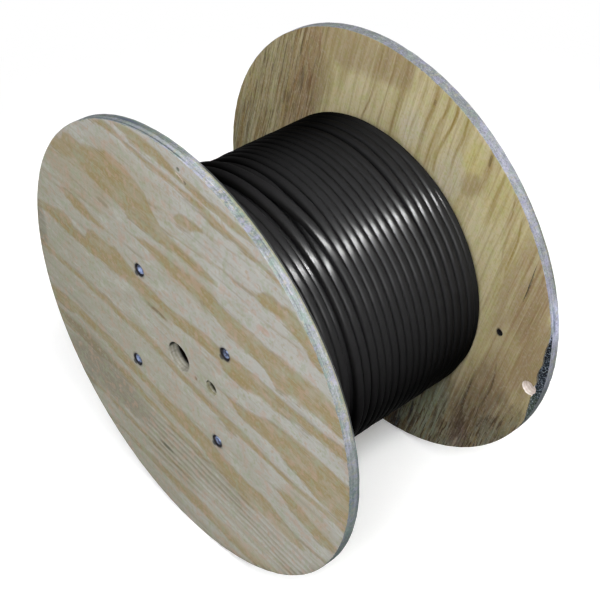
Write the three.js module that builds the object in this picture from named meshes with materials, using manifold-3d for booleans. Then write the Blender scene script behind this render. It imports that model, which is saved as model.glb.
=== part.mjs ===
// Wooden cable drum with a black sheathed cable wound on it.
// Millimetres, +Z up. The drum lies on the rims of its two flanges with its axis along X.
// The origin is on the floor, below the middle of the drum.

import * as THREE from 'three';
import { mergeVertices } from 'three/addons/utils/BufferGeometryUtils.js';
import Module from 'manifold-3d';

const wasm = await Module();
wasm.setup();

// Driving dimensions

const flangeDiameter = 762;
const flangeThickness = 19;
const flangeFacets = 96;
const traverse = 392;              // clear width between the two flanges
const turnedFacets = 36;           // round the barrel and the winding

const arborDiameter = 51;          // bore that the spindle goes through
const driveHoleDiameter = 25.4;
const driveHoleRadius = 78.5;      // distance from the axis
const driveHoleAngle = 188.5;      // degrees from +Y towards +Z, as all the angles below

const barrelDiameter = 356;
const barrelWall = 12;
const barrelGrooveDepth = 5;

const boltCount = 4;
const boltStartAngle = 55.8;
const boltDiameter = 9.5;
const washerDiameter = 20;
const washerThickness = 2;
const nutAcrossFlats = 14.3;
const nutThickness = 8;
const headThickness = 6.4;

const cableDiameter = 14.45;
const layerCount = 5;
const nestingDepth = 1.19;         // how far each layer sinks into the one below

const tieHoleDiameter = 24;        // near the rim, for the cable's outer end
const tieHoleWeb = 10.5;           // wood between the tie hole and the rim
const tieHoleAngle = 193.7;
const lashingHoleDiameter = 12;
const lashingHoleRadius = 281;
const lashingHoleAngle = 182.7;

const veneerThickness = 3;         // one ply, broken away along the grain at the rim
const veneerBreakHalfAngle = 15.9;
const veneerBreakAngle = 189.1;

// Clearances

const seatGap = 0.3;               // between pieces that bear on each other
const boltToBarrel = 21.6;         // from the bolt's axis to the barrel's inner wall
const boltHoleClearance = 0.75;    // all round the bolt in the wood
const washerClearance = 0.4;       // all round the bolt in the washer
const recessClearance = 1;         // all round the washer in its recess
const nutInset = 1.4;              // nut below the flange's outer face
const boltEndInset = 0.8;          // bolt end below the flange's outer face

// Derived sizes

const flangeRadius = flangeDiameter / 2;
const axisHeight = flangeRadius * Math.cos(Math.PI / flangeFacets);
const innerFace = traverse / 2;
const outerFace = innerFace + flangeThickness;
const barrelRadius = barrelDiameter / 2;
const barrelLength = traverse + 2 * (barrelGrooveDepth - seatGap);
const boltCircleRadius = barrelRadius - barrelWall - boltToBarrel;
const tieHoleRadius = flangeRadius - tieHoleWeb - tieHoleDiameter / 2;
const nutSeat = outerFace - nutInset - nutThickness;
const washerSeat = nutSeat - seatGap - washerThickness;
const recessFloor = washerSeat - seatGap;
const recessRadius = washerDiameter / 2 + recessClearance;
const fullLayerTurns = Math.floor(traverse / cableDiameter);

// Shapes and booleans

const radians = (degrees) => (degrees * Math.PI) / 180;

function polar(radius, degrees) {
  return new THREE.Vector2(radius * Math.cos(radians(degrees)), radius * Math.sin(radians(degrees)));
}

// Points of a circle with a flat side facing down, so that a flange rests on a facet.
function circle(radius, facets, center = new THREE.Vector2()) {
  const points = [];
  for (let i = 0; i < facets; i++) {
    points.push(polar(radius, -90 + ((i + 0.5) * 360) / facets).add(center));
  }
  return points;
}

// Extruded outline with holes. The outline lies in Y and Z, and its thickness runs along X.
function plate(outline, holes, fromX, toX) {
  const shape = new THREE.Shape(outline);
  shape.holes = holes.map((points) => new THREE.Path(points));
  const geometry = new THREE.ExtrudeGeometry(shape, { depth: toX - fromX, bevelEnabled: false });
  return alongX(geometry).translate(fromX, 0, 0);
}

// Turns a geometry's Z axis to X, its X axis to Y and its Y axis to Z.
function alongX(geometry) {
  return geometry.applyMatrix4(new THREE.Matrix4().set(0, 0, 1, 0, 1, 0, 0, 0, 0, 1, 0, 0, 0, 0, 0, 1));
}

// Profile of [x, radius] points turned about the X axis. The profile closes on itself.
// All turned pieces have their facets in line, so that nested ones keep their gap.
function turned(profile) {
  const points = profile.map(([x, radius]) => new THREE.Vector2(radius, x));
  points.push(points[0].clone());
  return new THREE.LatheGeometry(points, turnedFacets, Math.PI / turnedFacets).rotateZ(-Math.PI / 2);
}

function toSolid(geometry) {
  const bare = geometry.clone();
  bare.deleteAttribute('normal');
  bare.deleteAttribute('uv');
  const merged = mergeVertices(bare, 1e-4);
  return new wasm.Manifold(new wasm.Mesh({
    numProp: 3,
    vertProperties: new Float32Array(merged.attributes.position.array),
    triVerts: new Uint32Array(merged.index.array),
  }));
}

function toGeometry(solid) {
  const mesh = solid.getMesh();
  const geometry = new THREE.BufferGeometry();
  geometry.setAttribute('position', new THREE.BufferAttribute(mesh.vertProperties, 3));
  geometry.setIndex(new THREE.BufferAttribute(mesh.triVerts, 1));
  geometry.computeVertexNormals();
  return geometry;
}

function cut(geometry, cutters) {
  return toGeometry(cutters.reduce((solid, cutter) => solid.subtract(toSolid(cutter)), toSolid(geometry)));
}

// Materials

const plywood = { color: 0xc3b9a0, roughness: 0.8, metalness: 0 };
const fibreboard = { color: 0x8a7458, roughness: 0.9, metalness: 0 };
const zincSteel = { color: 0x8c95a3, roughness: 0.4, metalness: 0.9 };
const blackSheath = { color: 0x101012, roughness: 0.3, metalness: 0 };

const drum = new THREE.Group();
drum.position.z = axisHeight;

function addPiece(name, geometry, finish) {
  const mesh = new THREE.Mesh(geometry, new THREE.MeshStandardMaterial(finish));
  mesh.name = name;
  drum.add(mesh);
  return mesh;
}

// Flanges

const boltCenters = Array.from({ length: boltCount }, (_, i) =>
  polar(boltCircleRadius, boltStartAngle + (i * 360) / boltCount));

// Holes that both flanges have.
function commonHoles() {
  return [
    circle(arborDiameter / 2, 36),
    circle(driveHoleDiameter / 2, 20, polar(driveHoleRadius, driveHoleAngle)),
    ...boltCenters.map((center) => circle(boltDiameter / 2 + boltHoleClearance, 12, center)),
  ];
}

// Counterbores for the nuts or the bolt heads, from the recess floor out past the face.
function boltRecesses(side) {
  const ends = [side * recessFloor, side * (outerFace + 1)].sort((a, b) => a - b);
  return boltCenters.map((center) => plate(circle(recessRadius, 20, center), [], ...ends));
}

// Groove in the inner face that the end of the barrel stands in.
function barrelGroove(side) {
  const ends = [side * (innerFace - 1), side * (innerFace + barrelGrooveDepth)].sort((a, b) => a - b);
  const outer = barrelRadius + seatGap;
  const inner = barrelRadius - barrelWall - seatGap;
  return turned([[ends[0], inner], [ends[0], outer], [ends[1], outer], [ends[1], inner]]);
}

// Strip of the inner veneer that has split off along the grain, beyond a chord of the rim.
function brokenVeneer() {
  const chord = flangeRadius * Math.cos(radians(veneerBreakHalfAngle));
  const beyondRim = flangeRadius - chord + 1;
  const strip = new THREE.BoxGeometry(veneerThickness + 1, beyondRim, flangeRadius);
  strip.translate(innerFace + (veneerThickness - 1) / 2, chord + beyondRim / 2, 0);
  return strip.rotateX(radians(veneerBreakAngle));
}

function flange(side, extraHoles) {
  const ends = [side * innerFace, side * outerFace].sort((a, b) => a - b);
  return plate(circle(flangeRadius, flangeFacets), [...commonHoles(), ...extraHoles], ...ends);
}

addPiece('near_flange', cut(flange(-1, []), [...boltRecesses(-1), barrelGroove(-1)]), plywood);

const endHoles = [
  circle(tieHoleDiameter / 2, 20, polar(tieHoleRadius, tieHoleAngle)),
  circle(lashingHoleDiameter / 2, 16, polar(lashingHoleRadius, lashingHoleAngle)),
];
addPiece(
  'far_flange',
  cut(flange(1, endHoles), [...boltRecesses(1), barrelGroove(1), brokenVeneer()]),
  plywood,
);

// Barrel: a plain tube whose ends stand in the grooves of the flanges

addPiece(
  'barrel',
  turned([
    [-barrelLength / 2, barrelRadius - barrelWall],
    [-barrelLength / 2, barrelRadius],
    [barrelLength / 2, barrelRadius],
    [barrelLength / 2, barrelRadius - barrelWall],
  ]),
  fibreboard,
);

// Cable winding: the outer layer and every second layer below it have one turn less than
// fits between the flanges, and lie in the valleys of the full layers. The profile shows the
// turns of the outer layer and, at both ends, the end turn of each layer.

function windingProfile() {
  const cableRadius = cableDiameter / 2;
  const bore = barrelRadius + seatGap;
  const layerRadius = (layer) => bore + cableRadius + layer * (cableDiameter - nestingDepth);
  const layerTurns = (layer) => fullLayerTurns - ((layerCount - layer) % 2);
  const endTurn = (layer) => ((layerTurns(layer) - 1) * cableDiameter) / 2;
  const onCable = (x, radius, degrees) =>
    [x + cableRadius * Math.sin(radians(degrees)), radius + cableRadius * Math.cos(radians(degrees))];

  const outerLayer = layerCount - 1;
  const crests = [];
  for (let turn = 0; turn < layerTurns(outerLayer); turn++) {
    const x = turn * cableDiameter - endTurn(outerLayer);
    crests.push(...[-60, -20, 20, 60].map((degrees) => onCable(x, layerRadius(outerLayer), degrees)));
  }
  const rightEnd = [];
  for (let layer = outerLayer; layer >= 0; layer--) {
    rightEnd.push(...[60, 90, 120].map((degrees) => onCable(endTurn(layer), layerRadius(layer), degrees)));
  }
  rightEnd.push([endTurn(0) + cableRadius, bore]);
  const leftEnd = rightEnd.map(([x, radius]) => [-x, radius]).reverse();
  return [...leftEnd, ...crests.slice(1, -1), ...rightEnd];
}

addPiece('cable_winding', turned(windingProfile()), blackSheath);

// Tie bolts: the heads lie in the far flange's recesses and the nuts in the near flange's

function hexagon(acrossFlats) {
  return circle(acrossFlats / 2 / Math.cos(Math.PI / 6), 6);
}

function tieBolt() {
  const headMiddle = nutSeat + headThickness / 2;
  const shank = plate(circle(boltDiameter / 2, 12), [], boltEndInset - outerFace, headMiddle);
  const head = plate(hexagon(nutAcrossFlats), [], nutSeat, nutSeat + headThickness);
  return toGeometry(toSolid(shank).add(toSolid(head)));
}

function washer(side) {
  const ends = [side * washerSeat, side * (washerSeat + washerThickness)].sort((a, b) => a - b);
  const hole = circle(boltDiameter / 2 + washerClearance, 12);
  return plate(circle(washerDiameter / 2, 16), [hole], ...ends);
}

function nut() {
  const hole = circle(boltDiameter / 2 + seatGap, 12);
  return plate(hexagon(nutAcrossFlats), [hole], -nutSeat - nutThickness, -nutSeat);
}

boltCenters.forEach((center, i) => {
  const pieces = [
    addPiece(`tie_bolt_${i + 1}`, tieBolt(), zincSteel),
    addPiece(`head_washer_${i + 1}`, washer(1), zincSteel),
    addPiece(`nut_washer_${i + 1}`, washer(-1), zincSteel),
    addPiece(`tie_nut_${i + 1}`, nut(), zincSteel),
  ];
  pieces.forEach((piece) => piece.position.set(0, center.x, center.y));
});

export default drum;
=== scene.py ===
import functools
import math

import bpy
import numpy as np
from mathutils import Matrix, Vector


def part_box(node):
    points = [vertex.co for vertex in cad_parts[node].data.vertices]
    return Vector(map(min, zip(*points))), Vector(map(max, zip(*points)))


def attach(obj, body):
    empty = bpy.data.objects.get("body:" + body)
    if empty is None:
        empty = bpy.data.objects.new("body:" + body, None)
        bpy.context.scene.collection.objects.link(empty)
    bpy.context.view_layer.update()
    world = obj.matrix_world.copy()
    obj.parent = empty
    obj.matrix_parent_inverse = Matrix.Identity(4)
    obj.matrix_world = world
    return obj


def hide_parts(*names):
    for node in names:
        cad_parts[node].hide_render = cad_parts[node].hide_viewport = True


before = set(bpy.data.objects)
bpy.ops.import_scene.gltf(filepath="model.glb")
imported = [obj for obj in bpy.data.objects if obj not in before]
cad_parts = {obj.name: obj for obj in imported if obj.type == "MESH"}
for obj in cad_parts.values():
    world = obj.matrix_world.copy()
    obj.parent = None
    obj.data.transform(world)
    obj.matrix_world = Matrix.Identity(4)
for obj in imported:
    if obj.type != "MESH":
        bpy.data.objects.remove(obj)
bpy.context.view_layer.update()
print("frame loaded:", len(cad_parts), "nodes")

nearLow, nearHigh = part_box("near_flange")
farLow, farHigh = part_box("far_flange")
drum = {
    "axisHeight": (nearLow.z + nearHigh.z) / 2,
    "rimRadius": (nearHigh.z - nearLow.z) / 2,
    "outerFace": farHigh.x,
    "innerFace": farLow.x,
    "boreRadius": 0.0255,
    "driveHole": (188.5, 0.0785, 0.0127),      # angle from +Y towards +Z, distance, radius
    "tieHole": (193.7, 0.3585, 0.012),
    "lashingHole": (182.7, 0.281, 0.006),
    "boltAngles": (55.8, 145.8, 235.8, 325.8),
    "boltCircle": 0.1444,
    "breakAngle": 189.1,                       # of the strip of face ply broken off the far rim
    "breakChord": 0.3664,
    "breakDepth": 0.0030,
}
thickness = drum["outerFace"] - drum["innerFace"]
axisHeight = drum["axisHeight"]
rimRadius = drum["rimRadius"]
plyEdges = (0.0, 2.3, 5.3, 8.1, 11.0, 13.8, 16.7, 19.0)      # mm in from the outer face


def colour(red, green, blue):
    # an sRGB colour of 0 to 255 as the linear colour that nodes take
    channels = np.array([red, green, blue]) / 255
    linear = np.where(channels <= 0.04045, channels / 12.92, ((channels + 0.055) / 1.055) ** 2.4)
    return (*[float(c) for c in linear], 1.0)


def sign(operation):
    # the methods of an arithmetic sign: for it after a signal, and for it before one
    return (lambda self, other: self.math(operation, self, other),
            lambda self, other: self.math(operation, other, self))


class Signal:
    # one output of a node; arithmetic on it adds Math nodes
    def __init__(self, paint, socket):
        self.paint = paint
        self.socket = socket

    __add__, __radd__ = sign("ADD")
    __sub__, __rsub__ = sign("SUBTRACT")
    __mul__, __rmul__ = sign("MULTIPLY")
    __truediv__, __rtruediv__ = sign("DIVIDE")
    __pow__, __rpow__ = sign("POWER")

    def other(self, name):
        return Signal(self.paint, self.socket.node.outputs[name])

    def math(self, operation, *terms):
        return self.paint.add("Math", terms, operation=operation)

    def __abs__(self):
        return self.math("ABSOLUTE", self)

    def step(self, low, high):
        # 0 below low, 1 above high, eased between
        span = (low, high, 0.0, 1.0) if low < high else (high, low, 1.0, 0.0)
        return self.paint.add("MapRange", [self, *span], interpolation_type="SMOOTHSTEP")

    def largest(self, other):
        return self.math("MAXIMUM", self, other)

    def fraction(self):
        return self.math("FRACT", self)


class Paint:
    # a material, or another owner of a node tree, with the nodes added to it and its colour so far
    def __init__(self, name, tones=None, owner=None):
        self.tones = tones or {}
        self.material = owner or bpy.data.materials.new(name)
        self.material.use_nodes = True
        self.tree = self.material.node_tree
        self.tree.nodes.clear()
        self.body = None

    def add(self, kind, inputs=(), output=0, **settings):
        # any shader node, its inputs by name or in order, its settings, and the output that is wanted
        node = self.tree.nodes.new("ShaderNode" + kind)
        for key, value in settings.items():
            setattr(node, key, value)
        for key, value in inputs.items() if isinstance(inputs, dict) else enumerate(inputs):
            if isinstance(value, Signal):
                self.tree.links.new(value.socket, node.inputs[key])
            else:
                node.inputs[key].default_value = value
        return Signal(self, node.outputs[output]) if node.outputs else node

    def ramp(self, signal, stops, blend="LINEAR"):
        result = self.add("ValToRGB", [signal])
        ramp = result.socket.node.color_ramp
        ramp.interpolation = blend
        while len(ramp.elements) < len(stops):
            ramp.elements.new(1.0)
        for element, (place, value) in zip(ramp.elements, stops):
            element.position = place
            element.color = (*value, 1.0)[:4]
        return result

    def curves(self, signal, stops, blend="LINEAR"):
        # up to three curves over a signal: the red of a ramp, then its other("Green") and other("Blue")
        return self.add("SeparateColor", [self.ramp(signal, stops, blend)])

    def noise(self, vector, scale=1.0, detail=2.0, roughness=0.5):
        inputs = {"Vector": vector, "Scale": scale, "Detail": detail, "Roughness": roughness}
        return self.add("TexNoise", inputs)

    def grain(self, x, y, z, detail=2.0, roughness=0.5):
        # noise with a scale of its own along each axis
        return self.noise(self.add("CombineXYZ", [x, y, z]), 1.0, detail, roughness)

    def mix(self, factor, first, second, how="MIX"):
        inputs = {0: factor, 6: first, 7: second}
        return self.add("Mix", inputs, 2, data_type="RGBA", blend_type=how, clamp_factor=True)

    def tone(self, value):
        # a tone by its name, or an sRGB colour, ready for a node
        return value if isinstance(value, Signal) else colour(*self.tones.get(value, value))

    def start(self, factor, first, second):
        self.body = self.mix(factor, self.tone(first), self.tone(second))

    def lay(self, factor, tone):
        self.body = self.mix(factor, self.body, self.tone(tone))

    def coats(self, *rows):
        # each row: signal, the levels where its tone begins and is full, amount, tone
        for signal, low, high, amount, tone in rows:
            self.lay(signal.step(low, high) * amount, tone)

    def finish(self, roughness, height, distance, strength, **fixed):
        # the surface shader; what is the same all over goes straight on its sockets
        bump = self.add("Bump", {"Strength": strength, "Distance": distance, "Height": height})
        inputs = {"Base Color": self.body, "Roughness": roughness, "Normal": bump}
        inputs.update({name.replace("_", " "): value for name, value in fixed.items()})
        shader = self.add("BsdfPrincipled", inputs)
        self.add("OutputMaterial", {"Surface": shader})
        return self.material


def gridFaces(rows, columns, wrapRows, wrapColumns):
    # quads between neighbouring rows and columns of a grid of points
    i = np.arange(rows if wrapRows else rows - 1)
    j = np.arange(columns if wrapColumns else columns - 1)
    i, j = [a.ravel() for a in np.meshgrid(i, j, indexing="ij")]
    down = (i + 1) % rows
    right = (j + 1) % columns
    return np.stack([i * columns + j, down * columns + j, down * columns + right, i * columns + right], 1)


def turnedOut(points, faceSets):
    # the same faces, all turned over if they enclose a negative volume
    middle = points.mean(0)
    volume = 0.0
    for faces in faceSets:
        first = points[faces[:, 0]] - middle
        for k in range(1, faces.shape[1] - 1):
            across = np.cross(points[faces[:, k]] - middle, points[faces[:, k + 1]] - middle)
            volume += float((first * across).sum())
    return [faces[:, ::-1] for faces in faceSets] if volume < 0 else faceSets


def addObject(name, data):
    thing = bpy.data.objects.new(name, data)
    bpy.context.scene.collection.objects.link(thing)
    return thing


def shadeSmooth(mesh, sharpAngle):
    mesh.polygons.foreach_set("use_smooth", np.ones(len(mesh.polygons), bool))
    mesh.set_sharp_from_angle(angle=math.radians(sharpAngle))


def meshObject(name, points, faceSets, materials, sharpAngle=35):
    # a closed mesh from points and arrays of faces, with its normals outward
    points = np.asarray(points, float).reshape(-1, 3)
    faceSets = turnedOut(points, faceSets)
    sizes = np.concatenate([np.full(len(faces), faces.shape[1]) for faces in faceSets])
    corners = np.concatenate([faces.ravel() for faces in faceSets])
    mesh = bpy.data.meshes.new(name)
    mesh.vertices.add(len(points))
    mesh.vertices.foreach_set("co", points.ravel())
    mesh.loops.add(len(corners))
    mesh.loops.foreach_set("vertex_index", corners.astype(np.int32))
    mesh.polygons.add(len(sizes))
    mesh.polygons.foreach_set("loop_start", (np.cumsum(sizes) - sizes).astype(np.int32))
    mesh.update(calc_edges=True)
    mesh.validate()
    for material in materials:
        mesh.materials.append(material)
    shadeSmooth(mesh, sharpAngle)
    return addObject(name, mesh)


def dress(thing, node=None):
    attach(thing, "root")
    if node:
        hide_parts(node)


def fullTurn(steps):
    return np.linspace(0, 2 * np.pi, steps, endpoint=False)


def sweep(sections):
    # closed sections (rows, columns, 3) joined into a tube with flat ends
    rows, columns = sections.shape[:2]
    ends = np.stack([np.arange(columns), np.arange(columns)[::-1] + (rows - 1) * columns])
    return sections.reshape(-1, 3), [gridFaces(rows, columns, False, True), ends]


def onCircles(x, radius, around, y=0.0, z=axisHeight):
    # points at these radii and angles round a line along X through (y, z)
    return np.stack([x + 0 * radius, y + radius * np.cos(around), z + radius * np.sin(around)], -1)


def lathe(profile, y, z, steps=64, rough=None):
    # a profile of (x, radius) carried round a line along X through (y, z)
    around = fullTurn(steps)[None, :]
    x, radius = np.asarray(profile, float).T[:, :, None]
    radii = radius * np.ones(steps)
    return onCircles(x, radii if rough is None else radii + rough(x, around), around, y, z)


def ringNoise(angle, seed, lowest, highest, terms=14):
    # a sum of cosines of whole frequencies, so it closes round a circle; about -1 to 1
    draw = np.random.default_rng(seed)
    waves = draw.integers(lowest, highest + 1, terms)
    phases = draw.uniform(0, 2 * np.pi, terms)
    return np.cos(np.multiply.outer(angle, waves) + phases).sum(-1) / math.sqrt(terms)


def ease(value, low, high):
    # 0 below low, 1 above high, eased between
    t = np.clip((value - low) / (high - low), 0, 1)
    return t * t * (3 - 2 * t)


def polar(angle, radius):
    # y and z of a point at an angle from +Y towards +Z round the drum's axis
    turn = math.radians(angle)
    return radius * math.cos(turn), axisHeight + radius * math.sin(turn)


boltCentres = [polar(angle, drum["boltCircle"]) for angle in drum["boltAngles"]]


def cutAway(thing, cutter):
    tool = thing.modifiers.new("cut", "BOOLEAN")
    tool.operation = "DIFFERENCE"
    tool.solver = "MANIFOLD"
    tool.object = cutter
    bpy.context.view_layer.update()
    graph = bpy.context.evaluated_depsgraph_get()
    mesh = bpy.data.meshes.new_from_object(thing.evaluated_get(graph))
    thing.modifiers.clear()
    old = thing.data
    thing.data = mesh
    bpy.data.meshes.remove(old)
    bpy.data.objects.remove(cutter)


def standing(place, right, up, back):
    # the matrix of a thing at a place with these axes of its own
    return Matrix.Translation(place) @ Matrix((right, up, back)).transposed().to_4x4()


view = {
    "place": (-1.04043, -1.27938, 1.69199),
    "right": (0.73396, -0.67919, 0.0),
    "up": (0.42970, 0.46435, 0.77443),
    "back": (-0.52598, -0.56840, 0.63266),
    "lens": 79.02,
    "shift": (-0.0882, 0.0215),
}
lens = bpy.data.cameras.new("camera")
lens.lens = view["lens"]
lens.sensor_width = 36
lens.shift_x, lens.shift_y = view["shift"]
camera = addObject("camera", lens)
camera.matrix_world = standing(view["place"], view["right"], view["up"], view["back"])
bpy.context.scene.camera = camera
bpy.context.scene.view_settings.view_transform = "Standard"
print("camera placed")


studio = {
    "worldStrength": 0.34,
    "floorColour": (0.92, 0.92, 0.92, 1.0),
    "floorBounce": (0.45, 0.45, 0.45, 1.0),    # what the floor throws back on the drum: a darker floor
    "floorGlow": 0.26,
    "floorSide": 30.0,
    # name: place, size along the drum and across, power, the surfaces that it lights
    "lamps": {
        "key": ((-0.90, -1.60, 2.60), (3.2, 0.50), 98.0, "all"),
        "fill": ((-3.2, -0.5, 1.7), (2.4, 2.4), 36.0, "all"),
        "back": ((2.9, 1.3, 1.8), (2.4, 2.4), 34.0, "matt"),
        "sheen": ((-0.45, -1.58, 2.78), (5.0, 0.14), 1110.0, "gloss"),
        "gleam": ((-0.30, -2.70, 1.75), (2.4, 1.2), 90.0, "gloss"),
    },
}


def white(strength=1.0):
    return {"Color": (1, 1, 1, 1), "Strength": strength}


def directRays(paint):
    # 1 for what the camera sees straight or in a gloss, or through glass
    ray = paint.add("LightPath", output="Is Camera Ray")
    return ray.largest(ray.other("Is Glossy Ray")).largest(ray.other("Is Transmission Ray"))


def makeFloor():
    # matt and a little self lit near the drum, so that the shadow stays; plain white further off
    paint = Paint("pale_floor")
    x, y = objectPlace(paint)[:2]
    away = (x * x + y * y) ** 0.5
    matt = paint.add("BsdfDiffuse", {"Color": studio["floorColour"]})
    seen = paint.add("LightPath", output="Is Camera Ray")
    glow = paint.add("Emission", white(seen * studio["floorGlow"]))
    near = paint.add("AddShader", [matt, glow])
    mixed = paint.add("MixShader", [away.step(0.75, 1.7), near, paint.add("Emission", white())])
    bounce = paint.add("BsdfDiffuse", {"Color": studio["floorBounce"]})
    shown = paint.add("MixShader", [directRays(paint), bounce, mixed])
    paint.add("OutputMaterial", {"Surface": shown})
    side = studio["floorSide"]
    corners = [(a * side, b * side, -0.0005) for a, b in ((-1, -1), (1, -1), (1, 1), (-1, 1))]
    mesh = bpy.data.meshes.new("floor")
    mesh.from_pydata(corners, [], [(0, 1, 2, 3)])
    mesh.materials.append(paint.material)
    addObject("floor", mesh)


def makeWorld():
    # soft light all round; white where the camera, metal or glass sees it straight
    world = bpy.data.worlds.new("studio")
    bpy.context.scene.world = world
    paint = Paint("studio", owner=world)
    soft = paint.add("Background", white(studio["worldStrength"]))
    shown = paint.add("MixShader", [directRays(paint), soft, paint.add("Background", white())])
    paint.add("OutputWorld", {"Surface": shown})


def addLamp(name, place, size, power, lit):
    # a rectangular lamp turned to the drum, its long side along the drum's axis
    lamp = bpy.data.lights.new(name, "AREA")
    lamp.shape = "RECTANGLE"
    lamp.size, lamp.size_y = size
    lamp.energy = power
    away = np.array(place) - np.array([0, 0, axisHeight])
    back = away / np.linalg.norm(away)
    along = np.array([1.0, 0, 0]) if abs(back[0]) < 0.7 else np.array([0, -1.0, 0])
    right = along - back * (along @ back)
    right /= np.linalg.norm(right)
    thing = addObject(name, lamp)
    thing.matrix_world = standing(place, right, np.cross(back, right), back)
    thing.visible_diffuse = lit != "gloss"
    thing.visible_glossy = lit != "matt"


def objectPlace(paint):
    # x, y and z in the object's own frame, and the three as one vector
    where = paint.add("TexCoord", output="Object")
    x = paint.add("SeparateXYZ", [where])
    return x, x.other("Y"), x.other("Z"), where


makeFloor()
makeWorld()
for lampName, lampFacts in studio["lamps"].items():
    addLamp(lampName, *lampFacts)
print("floor, world and lamps placed")


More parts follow.
